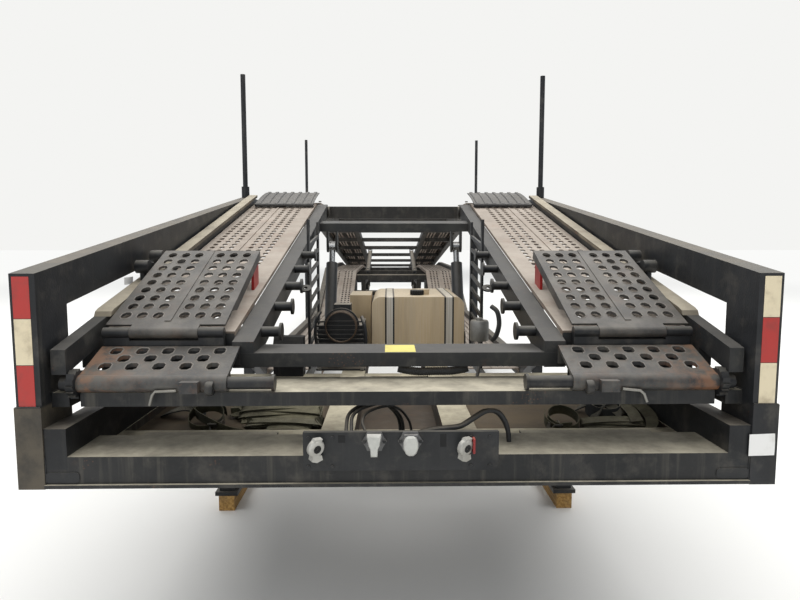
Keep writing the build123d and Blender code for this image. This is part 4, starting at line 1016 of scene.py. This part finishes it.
# %% Cut the treads
tyre_radius, rim_radius = 464.0, 286.0
tyre_offsets = (1168, 878)
tread_steps, step_shift = 104, 0.22
groove_depth, notch_depth, block_rise = 10.0, 8.0, 0.4
wheels = [(number, station, side, hand) for number, station in ((1, 9750), (2, 11050))
          for side, hand in ((-1, "left"), (1, "right"))]


def tyre_profile(notched):
    """Half the section as (radius, reach) points, with its notches sunk or not."""
    sunk = notch_depth if notched else 0.0
    block, groove = tyre_radius - block_rise, tyre_radius - groove_depth
    wall = [(rim_radius + rise, reach) for rise, reach in (
        (0, 100), (8, 108), (26, 112), (60, 125.5), (75, 126), (112, 125), (116, 123.5), (120, 125))]
    shoulder = [(tyre_radius - 30 - sunk / 2, 119), (tyre_radius - 12 - sunk, 104), (block - sunk, 90),
                (block - sunk, 66)]
    return wall + shoulder + [(groove, 62), (groove, 52), (block, 48), (block, 24), (groove, 20),
                              (groove, 11), (block, 7)]


def fill_tyres(side, station):
    """The two tyres of a twin wheel."""
    def fill(bm):
        for offset in tyre_offsets:
            rings = []
            for step in range(tread_steps):
                angle = 2 * math.pi * (step + (step_shift if step % 2 else -step_shift)) / tread_steps
                half = tyre_profile(step % 4 in (1, 2))
                rings.append([spot(side * offset + reach, station + r * math.cos(angle),
                                   tyre_radius + r * math.sin(angle))
                              for r, reach in half + [(r, -reach) for r, reach in reversed(half)]])
            add_loft(bm, rings, closed=True)
    return fill


for number, station, side, hand in wheels:
    made = make_piece(f"treads_{number}_{hand}", fill_tyres(side, station), tyre_rubber,
                      f"wheel_{number}_{hand}", (f"tyres_{number}_{hand}",), smooth=True)
print("faces on a pair of tyres:", len(made.data.polygons))

# %% [markdown]
# ## Bolts and nuts
# Bolt heads are all one form at many places, so a node tree sets a six-sided head on every point
# of a mesh that has only points. The head's size and its turn are inputs of the tree.

# %% Grow the node tree that sets the bolts
def bolt_tree():
    """A six-sided head on every point, turned one way."""
    tree, start, end = new_tree("bolt_heads", ("Radius", FLOAT, 0.012), ("Height", FLOAT, 0.01),
                                ("Turn", VECTOR, None))
    head = add_node(tree, "GeometryNodeMeshCylinder", {"fill_type": "NGON"}, Vertices=6,
                    Radius=start["Radius"], Depth=start["Height"])
    turn = add_node(tree, "FunctionNodeEulerToRotation", Euler=start["Turn"])
    laid = add_node(tree, "GeometryNodeInstanceOnPoints", Points=start["Geometry"],
                    Instance=head.outputs["Mesh"], Rotation=turn.outputs[0])
    return end_tree(tree, start, end, laid.outputs[0])


bolt_heads = bolt_tree()
facing_front, facing_side, facing_up = (math.pi / 2, 0, 0), (0, math.pi / 2, 0), (0, 0, 0)


def set_bolts(name, places, across, height, turn, material, body):
    """Bolt heads whose middles are at the places, as one piece; across is the size over two flats."""
    points = bpy.data.meshes.new(name + "_points")
    points.from_pydata([spot(*place) for place in places], [], [])
    mesh = grown_mesh(name + "_grown", points, bolt_heads, {
        "Radius": across / 1732, "Height": height / 1000, "Turn": turn, "Material": material})
    mesh.name = name
    return finish_piece(name, mesh, material, body)


print("nodes of the tree:", len(bolt_heads.nodes))

# %% Set the bolts and the wheel nuts
nut_rings = ((1050, 150), (1259, 88))  # offset of the nuts' middles, radius of their circle
for number, station, side, hand in wheels:
    places = [(side * x, station + radius * a, tyre_radius + radius * b)
              for x, radius in nut_rings for a, b in around(10, 0.3)]
    set_bolts(f"wheel_nuts_{number}_{hand}", places, 30, 24, facing_side, bare_steel,
              f"wheel_{number}_{hand}")
panel_bolts = [(x, -28, z) for x in (-312, -232, 300, 236) for z in (900, 800)]
panel_bolts += [(x + dx, -36, 888) for x in (-90, 31) for dx in (-34, 34)]  # on the sockets' flanges
set_bolts("panel_bolts", panel_bolts, 11, 5, facing_front, black_steel, "root")
deck_bolts = [(x, s, 812) for x in (-450, -200) for s in (1500, 1910)]
deck_bolts += [(side * x, s, 1915) for side in (-1, 1) for x in (650, 1085) for s in range(3400, 7800, 550)]
set_bolts("deck_bolts", deck_bolts, 22, 10, facing_up, bare_steel, "root")
print("bolts at the panel:", len(panel_bolts), "on the decks:", len(deck_bolts))

# %% [markdown]
# ## Air and electric fittings
# The panel carries two air couplings and two sockets. Their CAD forms are plain, so a finer
# form takes their place: a coupling has a round head with a seal and a claw below, and a socket
# has a spring lid with a tapered tongue on a flange with cut corners.

# %% Model the couplings
panel_face, panel_back = -26.0, -20.0
coupling_places = ((-282, 874), (214, 874))
head_reach = 33  # from the panel's face to the middle of a head
head_turn = Matrix.Rotation(math.radians(-52), 4, "Z") @ Matrix.Rotation(math.radians(10), 4, "Y")
shank = [(3, 0), (15, 0), (15, -14), (12, -20), (12, -30), (3, -30)]
head = [(4, -14), (26, -14), (30, -9), (30, 3), (26, 8), (20, 9), (4, 9)]
claw = ((-14, -22), (20, -26), (26, -44), (4, -50), (-16, -42))
lug = ((-16, 22), (14, 22), (20, 32), (-8, 34))
seal = [(3, 8), (13, 8), (14, 10.5), (9, 11.5), (3, 10)]
# Painted shade: a dark cap behind each head closes its bore.
bore_shade = [(3, -15.5), (12, -15.5), (12, -13.5), (3, -13.5)]


def set_head(made, x, z):
    """Turn what was made about the frame's origin, and carry it to a coupling's place."""
    base, there = spot(0, 0, 0), spot(x, panel_face - head_reach, z)
    for vert in made:
        vert.co = there + head_turn @ (vert.co - base)


def fill_couplings(bm):
    """Cast heads that look aside and forward, each with a claw, a lug and a shank from the panel."""
    for x, z in coupling_places:
        add_turned(bm, shank, (x, panel_face, z), 20, "Y")
        made = add_turned(bm, head, (0, 0, 0), 28)
        for outline, offsets in ((claw, (-15, -2, 8)), (lug, (-12, 6))):
            made += add_loft(bm, [[spot(a, b, c) for b, c in outline] for a in offsets])
        made += add_box(bm, -22, -12, -12, 24, -20, 2)
        set_head(made, x, z)


def fill_seals_and_bore_shade(bm):
    """Dark rubber seals in the couplings' faces, and dark caps behind the heads that are painted shade in
    their bores.
    """
    for x, z in coupling_places:
        set_head(add_turned(bm, seal, (0, 0, 0), 20) + add_turned(bm, bore_shade, (0, 0, 0), 20), x, z)


make_piece("couplings", fill_couplings, bright_cast, "root", ("air_couplings",), smooth=True)
make_piece("seals_and_bore_shade", fill_seals_and_bore_shade, seal_and_shade_black, "root", smooth=True)
print("couplings:", len(coupling_places))

# %% Model the sockets
socket_places = ((-90, 888), (31, 888))
flange = [(-42, 0), (-30, 18), (-24, 32), (24, 32), (30, 18), (42, 0), (30, -18), (24, -32), (-24, -32),
          (-30, -18)]
square_lid = [(-23, 37), (23, 37), (24, 31), (18, 0), (13, -10), (11, -37), (-11, -37), (-13, -10),
              (-18, 0), (-24, 31)]
sleeve = [(4, -8), (26, -8), (26, -40), (4, -40)]
pin_half, pin_reach, pin_rise = 22, 46, 32
bell_lid = [(-17, 27), (-9, 32), (9, 32), (17, 27), (24, 8), (24, -10), (17, -27), (7, -34), (-7, -34),
            (-17, -27), (-24, -10), (-24, 8)]


def fill_bases(bm):
    """Flanges with cut corners, the sockets' sleeves and the lids' hinge pins."""
    for x, z in socket_places:
        add_front(bm, flange, ((panel_face, 1.0), (panel_face - 8, 1.0)), x, z)
        add_turned(bm, sleeve, (x, panel_face, z), 28, "Y")
        pin = [(x + side * pin_half, panel_face - pin_reach, z + pin_rise) for side in (-1, 1)]
        add_bar(bm, 5, *pin, 10)


def fill_lids(bm):
    """Lids that hang from their pins, with a softer front edge."""
    for (x, z), lid in zip(socket_places, (square_lid, bell_lid)):
        add_front(bm, lid, [(panel_face - depth, size) for depth, size in ((40, 1.0), (54, 1.0), (60, 0.84))],
                  x, z)


make_piece("socket_bases", fill_bases, flange_grey, "root", ("electric_sockets",), smooth=True)
make_piece("socket_lids", fill_lids, cover_grey, "root", smooth=True)
print("sockets:", len(socket_places))

# %% Hang the red tag, bend the panel and paint the shade of its slots
panel_half, panel_low, panel_top, panel_corner = 330, 785, 918, 26
flag_box = (238, 246, -60, -34, 852, 903)
slot_shade_front = panel_face - 0.8  # dark plates of painted slot shade stand a hair proud of the panel
slot_shades = ((-212, -188, slot_shade_front, panel_face, 882, 908), (131, 152, slot_shade_front, panel_face, 866, 911))


def rounded(x0, x1, z0, z1, radius, count=5):
    """A rounded outline in offset and height."""
    places = []
    for cx, cz, start in ((x1 - radius, z1 - radius, 0), (x0 + radius, z1 - radius, 90),
                          (x0 + radius, z0 + radius, 180), (x1 - radius, z0 + radius, 270)):
        for k in range(count):
            angle = math.radians(start + 90 * k / (count - 1))
            places.append((cx + radius * math.cos(angle), cz + radius * math.sin(angle)))
    return places


def fill_panel(bm):
    """The panel's plate with its lower corners rounded, and the folds at its top and bottom."""
    outline = rounded(-panel_half, panel_half, panel_low, panel_top, panel_corner)
    middle = (panel_low + panel_top) / 2
    outline = [(x, z) if z < middle else (math.copysign(panel_half, x), panel_top) for x, z in outline]
    outline = list(dict.fromkeys((round(x, 3), round(z, 3)) for x, z in outline))
    add_front(bm, outline, ((panel_face, 1), (panel_back, 1)))
    fold = panel_half - panel_corner
    add_box(bm, -panel_half, panel_half, panel_back - 1, -4, panel_top - 6.5, panel_top - 0.5, 1.5)
    add_box(bm, -fold, fold, panel_back - 1, 0, panel_low + 0.5, panel_low + 6)


make_piece("coupling_flag", fill_boxes(flag_box, soft=2), prop_red, "root")
# Dark plates on the panel's face are painted shade where its slots open.
make_piece("panel_slot_shades", fill_boxes(*slot_shades), seal_and_shade_black, "root")
make_piece("plug_panel", fill_panel, black_steel, "root", ("connector_panel",))
print("the panel's height is", panel_top - panel_low, "mm")

# %% [markdown]
# ## Hoses and cables
# Two air hoses leave the back of the panel, rise in a loop and go down beside the spine rail;
# three cables run to the left and pass under the sill into the neck. Both their ends are held,
# so they are plain tubes along smooth paths. A few short wires and pipes lie in the neck. Another
# ribbed hose hangs under the front deck's cross tube and moves with it.

# %% Lay the hoses
hose_routes = (  # radius, then (offset, station, height) places
    (8.5, ((62, -20, 888), (66, 30, 892), (112, 52, 900), (160, 58, 903), (214, 74, 906),
           (262, 98, 926), (312, 122, 946), (356, 136, 938), (382, 138, 905), (394, 134, 864),
           (396, 132, 829.5))),
    (8.5, ((40, -20, 880), (44, 40, 884), (84, 72, 890), (128, 80, 896), (172, 82, 899), (216, 96, 902),
           (258, 118, 920), (306, 142, 940), (350, 156, 934), (380, 158, 902), (396, 156, 862),
           (400, 156, 829.5))),
)
cable_routes = (
    (6.5, ((-166, -20, 870), (-168, 20, 878), (-172, 52, 908), (-170, 80, 940), (-146, 116, 956),
           (-106, 160, 960), (-66, 214, 952), (-30, 268, 922), (0, 318, 876), (14, 352, 830),
           (16, 372, 786))),
    (6.5, ((-184, -20, 870), (-187, 26, 880), (-190, 66, 910), (-184, 98, 942), (-156, 136, 958),
           (-114, 180, 961), (-74, 232, 950), (-38, 284, 918), (-10, 330, 872), (2, 360, 828),
           (4, 378, 786))),
    (5, ((-120, -20, 880), (-122, 30, 900), (-134, 60, 925), (-126, 90, 944), (-100, 124, 952),
         (-62, 166, 952), (-26, 214, 940), (8, 262, 908), (34, 306, 862), (46, 336, 820), (48, 352, 786))),
)
wire_routes = (
    (7, ((-330, 820, 806), (-250, 800, 838), (-180, 840, 862), (-110, 880, 846), (-30, 860, 812),
         (60, 900, 806))),
    (6, ((-420, 900, 806), (-300, 930, 850), (-200, 900, 870), (-90, 920, 858), (10, 950, 824),
         (80, 990, 808))),
    (9, ((-300, 1100, 808), (-220, 1060, 850), (-140, 1000, 868), (-70, 1010, 850), (-20, 1060, 818),
         (-30, 1180, 808))),
    (9, ((440, 1240, 812), (470, 1300, 900), (500, 1380, 930), (560, 1440, 900), (570, 1500, 860))),
    (14, ((560, 1500, 1180), (590, 1470, 1150), (600, 1460, 1080), (585, 1470, 1010), (566, 1490, 980))),
)
deck_hose = ((-6, 275, 1072), (32, 275, 1064), (78, 276, 1059), (136, 276, 1060), (194, 276, 1061),
             (232, 275, 1066), (262, 275, 1073))
rib_radius, neck_radius = 16.5, 14.5


def smooth_path(points, steps=6):
    """A curve through all the points, by the rule of Catmull and Rom, in metres."""
    points = [Vector(point) for point in points]
    ends = [2 * points[0] - points[1], *points, 2 * points[-1] - points[-2]]
    path = []
    for a, b, c, d in zip(ends, ends[1:], ends[2:], ends[3:]):
        for k in range(steps):
            t = k / steps
            path.append(0.5 * (2 * b + (c - a) * t + (2 * a - 5 * b + 4 * c - d) * t ** 2
                               + (3 * b - a - 3 * c + d) * t ** 3))
    return [spot(*point) for point in (*path, points[-1])]


def fill_routes(routes):
    """Round tubes along their routes."""
    def fill(bm):
        for radius, points in routes:
            add_tube(bm, smooth_path(points), radius, 14)
    return fill


def fill_deck_hose(bm):
    """A ribbed hose: its radius changes at every step."""
    path = smooth_path(deck_hose, 14)
    add_tube(bm, path, [rib_radius if k % 2 else neck_radius for k in range(len(path))], 18)


for name, routes in (("neck_wires", wire_routes), ("air_hoses", hose_routes), ("light_cables", cable_routes)):
    make_piece(name, fill_routes(routes), hose_black, "root", smooth=True)
make_piece("deck_hose", fill_deck_hose, hose_black, "front_deck")
print("hoses:", len(hose_routes), "cables:", len(cable_routes), "wires and pipes:", len(wire_routes))

# %% [markdown]
# ## Webbing in the trays
# The tie-down straps are left in the trays of the neck: loops that stand on edge, flat runs that
# are folded over one another, and ratchet buckles. A strap is a ribbon with a true thickness.

# %% Write how a strap lies
strap_width, strap_thick = 50.0, 3.0
floor_top = 751.0
low_lay = floor_top + 2


def add_ribbon(bm, points, across, width=strap_width, thick=strap_thick):
    """A flat strap along a smooth path; across is the way its width points."""
    path = smooth_path(points, 5)
    half_width, half_thick = width / 2000, thick / 2000
    rings = []
    for i, point in enumerate(path):
        run, way = run_at(path, i), Vector(across)
        way = (way - way.dot(run) * run).normalized()
        face = run.cross(way).normalized()
        rings.append([point + way * a * half_width + face * b * half_thick
                      for a, b in ((1, 1), (-1, 1), (-1, -1), (1, -1))])
    add_loft(bm, rings)


def coil(x, s, z, start, end, turns, phase, tilt):
    """Places on a spiral that stands on a tray's floor, from one radius to another."""
    count = int(turns * 10) + 1
    places = []
    for k in range(count):
        share = k / (count - 1)
        radius, angle = start + (end - start) * share, phase + 2 * math.pi * turns * share
        across, along = radius * math.cos(angle), radius * math.sin(angle)
        places.append((x + across, s + along, z + tilt * along))
    return places


def folded(x0, x1, station, fall, layers, lift, lean):
    """Places of a strap that goes to and fro over itself, each layer a little higher and shifted."""
    places = []
    for layer in range(layers):
        start, end = (x0, x1) if layer % 2 == 0 else (x1, x0)
        base, shift = low_lay + 4 + lift * layer, station + fall * layer
        for share, arch in ((0.0, 0.3), (0.25, 0.9), (0.5, 1.0), (0.75, 0.8), (1.0, 0.3)):
            places.append((start + (end - start) * share, shift + lean * share, base + lift * arch))
    return places


def lying(*places):
    """Places given as (offset, station, rise over the tray's floor)."""
    return [(x, s, low_lay + rise) for x, s, rise in places]


print("a strap lies", low_lay, "mm above the ground")

# %% Fold the webbing
left_runs = (  # places, then the way the width points
    (coil(-842, 610, 783, 84, 66, 1.35, 0.5, 0.42) + [(-770, 510, 776), (-700, 480, 762), (-640, 470, 754)],
     (0.1, -0.55, 1)),
    (folded(-700, -362, 640, 14, 5, 10, 34), (0, 1, 0.3)),
    (folded(-640, -350, 560, -10, 4, 8, 30), (0.05, 1, 0.1)),
    (folded(-560, -380, 500, 6, 2, 8, 10), (0.1, 1, 0.2)),
    (folded(-740, -420, 720, 16, 3, 13, -30), (-0.05, 1, 0.35)),
    (lying((-356, 560, 0), (-346, 590, 30), (-344, 640, 42), (-352, 700, 30), (-362, 740, 4)), (0.35, 0, 1)),
    (lying((-1000, 840, 8), (-930, 800, 30), (-880, 820, 44), (-840, 870, 20)), (0.3, 0.2, 1)),
)
right_runs = (
    (coil(716, 560, 783, 78, 56, 1.4, 2.6, 0.4) + [(690, 480, 770), (640, 462, 756), (600, 452, 753)],
     (-0.1, -0.5, 1)),
    (folded(800, 1060, 520, 12, 3, 9, 20), (0, 1, 0.2)),
    (lying((1112, 860, 50), (1100, 780, 66), (1104, 660, 60), (1098, 540, 44), (1070, 470, 20),
           (1010, 450, 6)), (1, 0, 0.45)),
    (lying((1060, 850, 38), (1050, 740, 52), (1046, 620, 46), (1030, 520, 30)), (1, 0, 0.2)),
)
wide = 60.0
sling_runs = (  # slings also give their width and thickness
    (coil(960, 720, 790, 96, 50, 1.3, 0.6, 0.25), (0, 0, 1), wide, 5),
    (lying((880, 640, 8), (930, 690, 44), (1000, 720, 56), (1040, 800, 22)), (0.4, -0.8, 0.5), wide, 6),
    (lying((860, 800, 12), (900, 740, 52), (960, 700, 62), (1010, 640, 20)), (0.7, 0.7, 0.3), wide, 6),
    (lying((-1080, 760, 6), (-1010, 700, 40), (-950, 720, 48), (-900, 780, 12)), (0.4, 0.9, 0.2), wide, 6),
)
buckle_places = ((-786, 560), (668, 520))


def fill_runs(runs):
    """All the ribbons of one piece."""
    def fill(bm):
        for run in runs:
            add_ribbon(bm, *run)
    return fill


def fill_buckles(bm):
    """Ratchet buckles: two cheeks, a spindle and a handle."""
    z = low_lay
    for x, s in buckle_places:
        for dx in (-24, 20):
            add_plate(bm, [(s - 34, z), (s + 38, z), (s + 44, z + 12), (s + 18, z + 34), (s - 20, z + 30)],
                      x + dx, x + dx + 4)
        add_bar(bm, 8, (x - 24, s + 4, z + 20), (x + 24, s + 4, z + 20), 12)
        add_plate(bm, [(s - 40, z + 22), (s - 78, z + 44), (s - 80, z + 40), (s - 40, z + 16)],
                  x - 18, x + 18)


make_piece("left_straps", fill_runs(left_runs), webbing, "root")
make_piece("right_straps", fill_runs(right_runs), webbing, "root")
make_piece("dark_slings", fill_runs(sling_runs), webbing_dark, "root")
make_piece("strap_buckles", fill_buckles, bare_steel, "root")
print("runs of strap:", len(left_runs) + len(right_runs), "slings:", len(sling_runs))

# %% [markdown]
# ## Tape, labels and small plates
# The posts carry bands of reflective tape, red and white by turns, in opposite order on the two
# hands. The label and the tag are blank. Small rounded plates close the ends of the front beam.

# %% Stick the tape and the labels
tape_inner, tape_outer = 1224, 1280
tape_bands = ((1004, 1143), (1145, 1299), (1301, 1440))
tape_front, tape_thick = -0.9, 0.8
deck_label = (-56, 62, 262, 420, 1137.1, 1137.8)
side_label = (-1205, -1204.3, 668, 758, 1366, 1398)
tag_corner, tag_wide, tag_long, tag_proud, tag_curl = (1196, 896), 88, 76, 7.2, 3


def fill_tape(red):
    """The bands of one colour: the first and the last are red on the left, the middle one on the right."""
    def fill(bm):
        for side in (-1, 1):
            for k, (z0, z1) in enumerate(tape_bands):
                if ((k % 2 == 0) == (side == -1)) == red:
                    add_box(bm, side * tape_inner, side * tape_outer, tape_front, tape_front + tape_thick,
                            z0, z1)
    return fill


def fill_tag(bm):
    """A paper tag that curls away from the post's foot."""
    rows = []
    for k in range(7):
        t = k / 6
        rows.append([spot(tag_corner[0] + tag_wide * u, -tag_proud - tag_curl * math.sin(t * 2.4) * u,
                          tag_corner[1] - tag_long * t + 3 * u) for u in (0, 0.33, 0.66, 1)])
    front = [[bm.verts.new(p) for p in row] for row in rows]
    back = [[bm.verts.new(p + Vector((0, 0.0006, 0))) for p in row] for row in rows]
    for a in range(6):
        for b in range(3):
            bm.faces.new((front[a][b], front[a + 1][b], front[a + 1][b + 1], front[a][b + 1]))
            bm.faces.new((back[a][b], back[a][b + 1], back[a + 1][b + 1], back[a + 1][b]))
    rim = ([(a, 0) for a in range(7)] + [(6, b) for b in range(1, 4)] + [(a, 3) for a in range(5, -1, -1)]
           + [(0, b) for b in (2, 1)])
    for (a, b), (c, d) in zip(rim, rim[1:] + rim[:1]):
        bm.faces.new((front[a][b], back[a][b], back[c][d], front[c][d]))


make_piece("tape_red", fill_tape(True), tape_red, "root")
make_piece("tape_white", fill_tape(False), tape_white, "root")
make_piece("yellow_label", fill_boxes(deck_label), label_yellow, "front_deck")
make_piece("paper_tag", fill_tag, paper_white, "root")
make_piece("rail_label", fill_boxes(side_label), paper_white, "root")
print("bands of tape on each post:", len(tape_bands))

# %% Weld the small plates and beads
beads = (  # start and end as (offset, station, height), radius, phase of the ripples
    ((1204, 0, 722), (1204, 0, 828), 4.0, 0.0),
    ((1207, -3, 1001), (1293, -3, 1001), 3.5, 1.0),
    ((1289.5, 4, 1002), (1289.5, 186, 1002), 3.5, 0.4),
    ((1205, 60, 1035), (1205, 288, 1035), 4.5, 0.9),
    ((1205, 62, 986), (1205, 288, 986), 4.0, 0.2),
    *(((1203, s - 45, 790), (1203, s + 45, 790), 5.0, 0.7) for s in (380, 1450, 2290)),
)
end_plate = (1090, 1204, 739, 776, 14)  # offsets, heights and the radius of the corners
nose_ring = [(8, 642), (22, 642), (25, 646), (25, 664), (22, 668), (8, 668)]
latch_handle = ((690, 28, 1064), (752, 28, 1064))
lug_place, lug_wide, lug_cut, lug_high, lug_hole, lug_thick = (452, 985, 1322), 30, 26, 24, 9, 9


def fill_plates(bm):
    """A rounded plate on the front beam's end."""
    add_front(bm, rounded(*end_plate), ((0, 1), (-3, 1)))


def fill_beads(bm):
    """Weld beads: rippled round bars."""
    for start, end, radius, phase in beads:
        a, b = Vector(start), Vector(end)
        count = max(4, int((b - a).length / 5))
        places = [spot(*(a + (b - a) * k / count)) for k in range(count + 1)]
        ripples = [radius * (0.78 + 0.22 * math.sin(2.1 * k + phase)) for k in range(count + 1)]
        add_tube(bm, places, ripples, 8)


def fill_rings(bm):
    """A ring beside each nose bar's inner stub, with a pin hole, and a cross handle on the latch."""
    add_turned(bm, nose_ring, (0, 40, 1053))
    add_bar(bm, 7, *latch_handle, 12)


def fill_lugs(bm):
    """A flat lug with a hole, on the third peg of each hand; it leans with the peg."""
    x, s, z = lug_place
    ring = [(max(-lug_cut, min(lug_cut, lug_wide * u)), lug_high * v) for u, v in around(16)]
    hole = [(lug_hole * u, lug_hole * v) for u, v in around(16)]
    rings = [[spot(x + a, s + 0.8 * b - 0.6 * depth, z + 0.6 * b + 0.8 * depth) for a, b in outline]
             for outline, depth in ((ring, 0), (ring, lug_thick), (hole, lug_thick), (hole, 0))]
    add_loft(bm, rings, closed=True)


make_piece("weld_plates", mirrored(fill_plates), black_steel, "root")
make_piece("weld_beads", mirrored(fill_beads), black_steel, "root", smooth=True)
make_piece("nose_rings", mirrored(fill_rings), black_steel, "front_deck", smooth=True)
make_piece("peg_lugs", mirrored(fill_lugs), black_steel, "front_deck")
print("beads on each hand:", len(beads))

# %% Rib the bridge plates and bend the latch levers
bridge_line = ((2790, ramp_at(2790) + 38), (3250, 1990))
bridge_ribs, bridge_inner, bridge_outer = 7, 637, 1095
bridge_steps, bridge_start, bridge_arch, bridge_thick = 8, 0.03, 10, 7
rib_section = ((-17, -1), (-11, 8), (11, 8), (17, -1))
foot_stations, foot_middle, foot_gap = (2800, 2840), 865, 16  # two feet lie under a bridge plate
levers = (
    ((-770, 40, 1046), (-842, 40, 1043), (-852, 38, 1030), (-861, 36, 996)),
    ((770, 40, 1046), (832, 40, 1040), (846, 38, 1028), (856, 36, 1000)),
)


def bridge_at(share, lift):
    """Station and height at a share of the bridge plate's length, a little arched."""
    (s0, h0), (s1, h1) = bridge_line
    arch = bridge_arch * math.sin(math.pi * share)
    return s0 + (s1 - s0) * share, h0 + (h1 - h0) * share + arch - bridge_arch + lift


def fill_bridge(bm):
    """A bridge plate with a round nose and ribs that run with the travel, a little arched."""
    shares = [bridge_start + (1 - bridge_start) * k / bridge_steps for k in range(bridge_steps + 1)]
    plate = []
    for share in shares:
        (s, top), low = bridge_at(share, 0), bridge_at(share, -bridge_thick)[1]
        plate.append([spot(x, s, z) for x, z in ((bridge_inner, top), (bridge_outer, top),
                                                 (bridge_outer, low), (bridge_inner, low))])
    add_loft(bm, plate)
    pitch = (bridge_outer - bridge_inner) / bridge_ribs
    for number in range(bridge_ribs):
        x = bridge_inner + pitch * (number + 0.5)
        tops = [bridge_at(share, 0) for share in shares]
        add_loft(bm, [[spot(x + a, s, top + b) for a, b in rib_section] for s, top in tops])
    nose = bridge_at(bridge_start, -6)
    add_bar(bm, 12, (bridge_inner, *nose), (bridge_outer, *nose), 14)
    for x0, x1 in ((bridge_inner, foot_middle - foot_gap), (foot_middle + foot_gap, bridge_outer)):
        add_box(bm, x0, x1, *foot_stations, ramp_at(foot_stations[1]) + 1, bridge_at(0.1, -6)[1])


def fill_levers(bm):
    """Bent levers on the latches."""
    for places in levers:
        add_tube(bm, [spot(*place) for place in places], 5, 10)


make_piece("bridge_ribs", mirrored(fill_bridge), bridge_steel, "front_deck",
           ("bridge_plates",))
make_piece("latch_levers", fill_levers, bare_steel, "front_deck", smooth=True)
print("ribs on a bridge plate:", bridge_ribs, "levers:", len(levers))

# %% [markdown]
# ## Engine and tank
# The engine stands behind the ladders. Cooling slats, a filter canister, belts and a few pipes
# make its plain block read as a machine. The tank gets a ribbed cap, and its bands lie on rubber.
# Folded edges close the gap below each ramp's foot and behind each lip.

# %% Dress the engine and the tank
canister_place, drum_place, cap_place = (500, 1560, 1028), (-318, 1490, 1068), (137, 1800)
canister = [(2, -60), (52, -60), (56, -54), (56, 50), (50, 62), (2, 62)]
canister_neck = [(2, 62), (22, 62), (22, 76), (2, 76)]
slats = [(-462, -190, 1483.5, 1490, z, z + 10) for z in range(880, 1089, 26)]
drum_radius, belt_count, belt_pitch, belt_step = 88, 3, 18, 2
closures = ((634, 1111, 301.5, 307, 1152, 1204), (634, 1109, 228, 232, 1052, 1150))
engine_pipes = (  # radius, then places
    (11, ((-200, 1500, 1120), (-186, 1470, 1080), (-176, 1466, 1000), (-182, 1480, 900), (-190, 1492, 860))),
    (9, ((-440, 1500, 1150), (-462, 1476, 1110), (-470, 1476, 1040), (-466, 1492, 960))),
)
band_middles = (-36, 327)
tank_front, tank_back, tank_top, band_low, band_bend = 1650, 2330, 1222, 812, 8
cap_low, cap_high, cap_ribs, cap_radii = 1224, 1255, 36, (40, 44)


def fill_canister(bm):
    """The filter's body and its neck."""
    add_turned(bm, canister, canister_place, 32, "Z")
    add_turned(bm, canister_neck, canister_place, 20, "Z")


def fill_engine(bm):
    """Cooling slats before the block, and two pipes."""
    fill_boxes(*slats, soft=2)(bm)
    for radius, points in engine_pipes:
        add_tube(bm, smooth_path(points), radius, 12)


def fill_belts(bm):
    """Belts round the drum, each a ring with a flat back."""
    for k in range(belt_count):
        r, s = drum_radius - belt_step * k, -16 - belt_pitch * k
        add_turned(bm, [(r, s - 6), (r + 6, s - 5), (r + 6, s + 5), (r, s + 6)], drum_place, 40, "Y")


def band_path(out):
    """The line of a band round the tank's front, top and back, at a distance off the skin."""
    front, back, top = tank_front - out, tank_back + out, tank_top + out
    arc = [(band_bend * (1 - math.cos(a)), band_bend * (1 - math.sin(a)))
           for a in (0, math.pi / 6, math.pi / 3, math.pi / 2)]
    return ([(front, band_low)] + [(front + u, top - v) for u, v in arc]
            + [(back - u, top - v) for u, v in reversed(arc)] + [(back, band_low)])


def fill_bands(half, low, high):
    """Bands of a half width that lie between two distances off the skin."""
    def fill(bm):
        for x in band_middles:
            add_loft(bm, [[spot(x - half, *a), spot(x + half, *a), spot(x + half, *b), spot(x - half, *b)]
                          for a, b in zip(band_path(high), band_path(low))])
    return fill


def fill_cap(bm):
    """The filler cap: a ring with grip ribs round its edge."""
    ring = [(cap_radii[k % 2] * u, cap_radii[k % 2] * v) for k, (u, v) in enumerate(around(cap_ribs))]
    x, s = cap_place
    add_loft(bm, [[spot(x + a * size, s + b * size, z) for a, b in ring]
                  for z, size in ((cap_low, 1), (cap_high - 5, 1), (cap_high, 0.86))])


tank_low, tank_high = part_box("tank")
make_piece("tank_bands", fill_bands(19, 2.2, 3.8), strap_metal, "root", ("tank_straps",))
make_piece("band_rubber", fill_bands(29, 0.3, 2.2), band_black, "root")
make_piece("filler_cap", fill_cap, dark_steel, "root")
make_piece("ramp_closures", mirrored(fill_boxes(*closures)), ramp_steel, "front_deck")
make_piece("engine_fins", fill_engine, machine_black, "root")
make_piece("drum_belts", fill_belts, ring_brown, "root")
make_piece("filter_canister", fill_canister, cast_grey, "root", smooth=True)
print("slats:", len(slats), "belts:", belt_count)
print("the tank's box goes from", [round(v, 3) for v in tank_low], "to", [round(v, 3) for v in tank_high])

# %% [markdown]
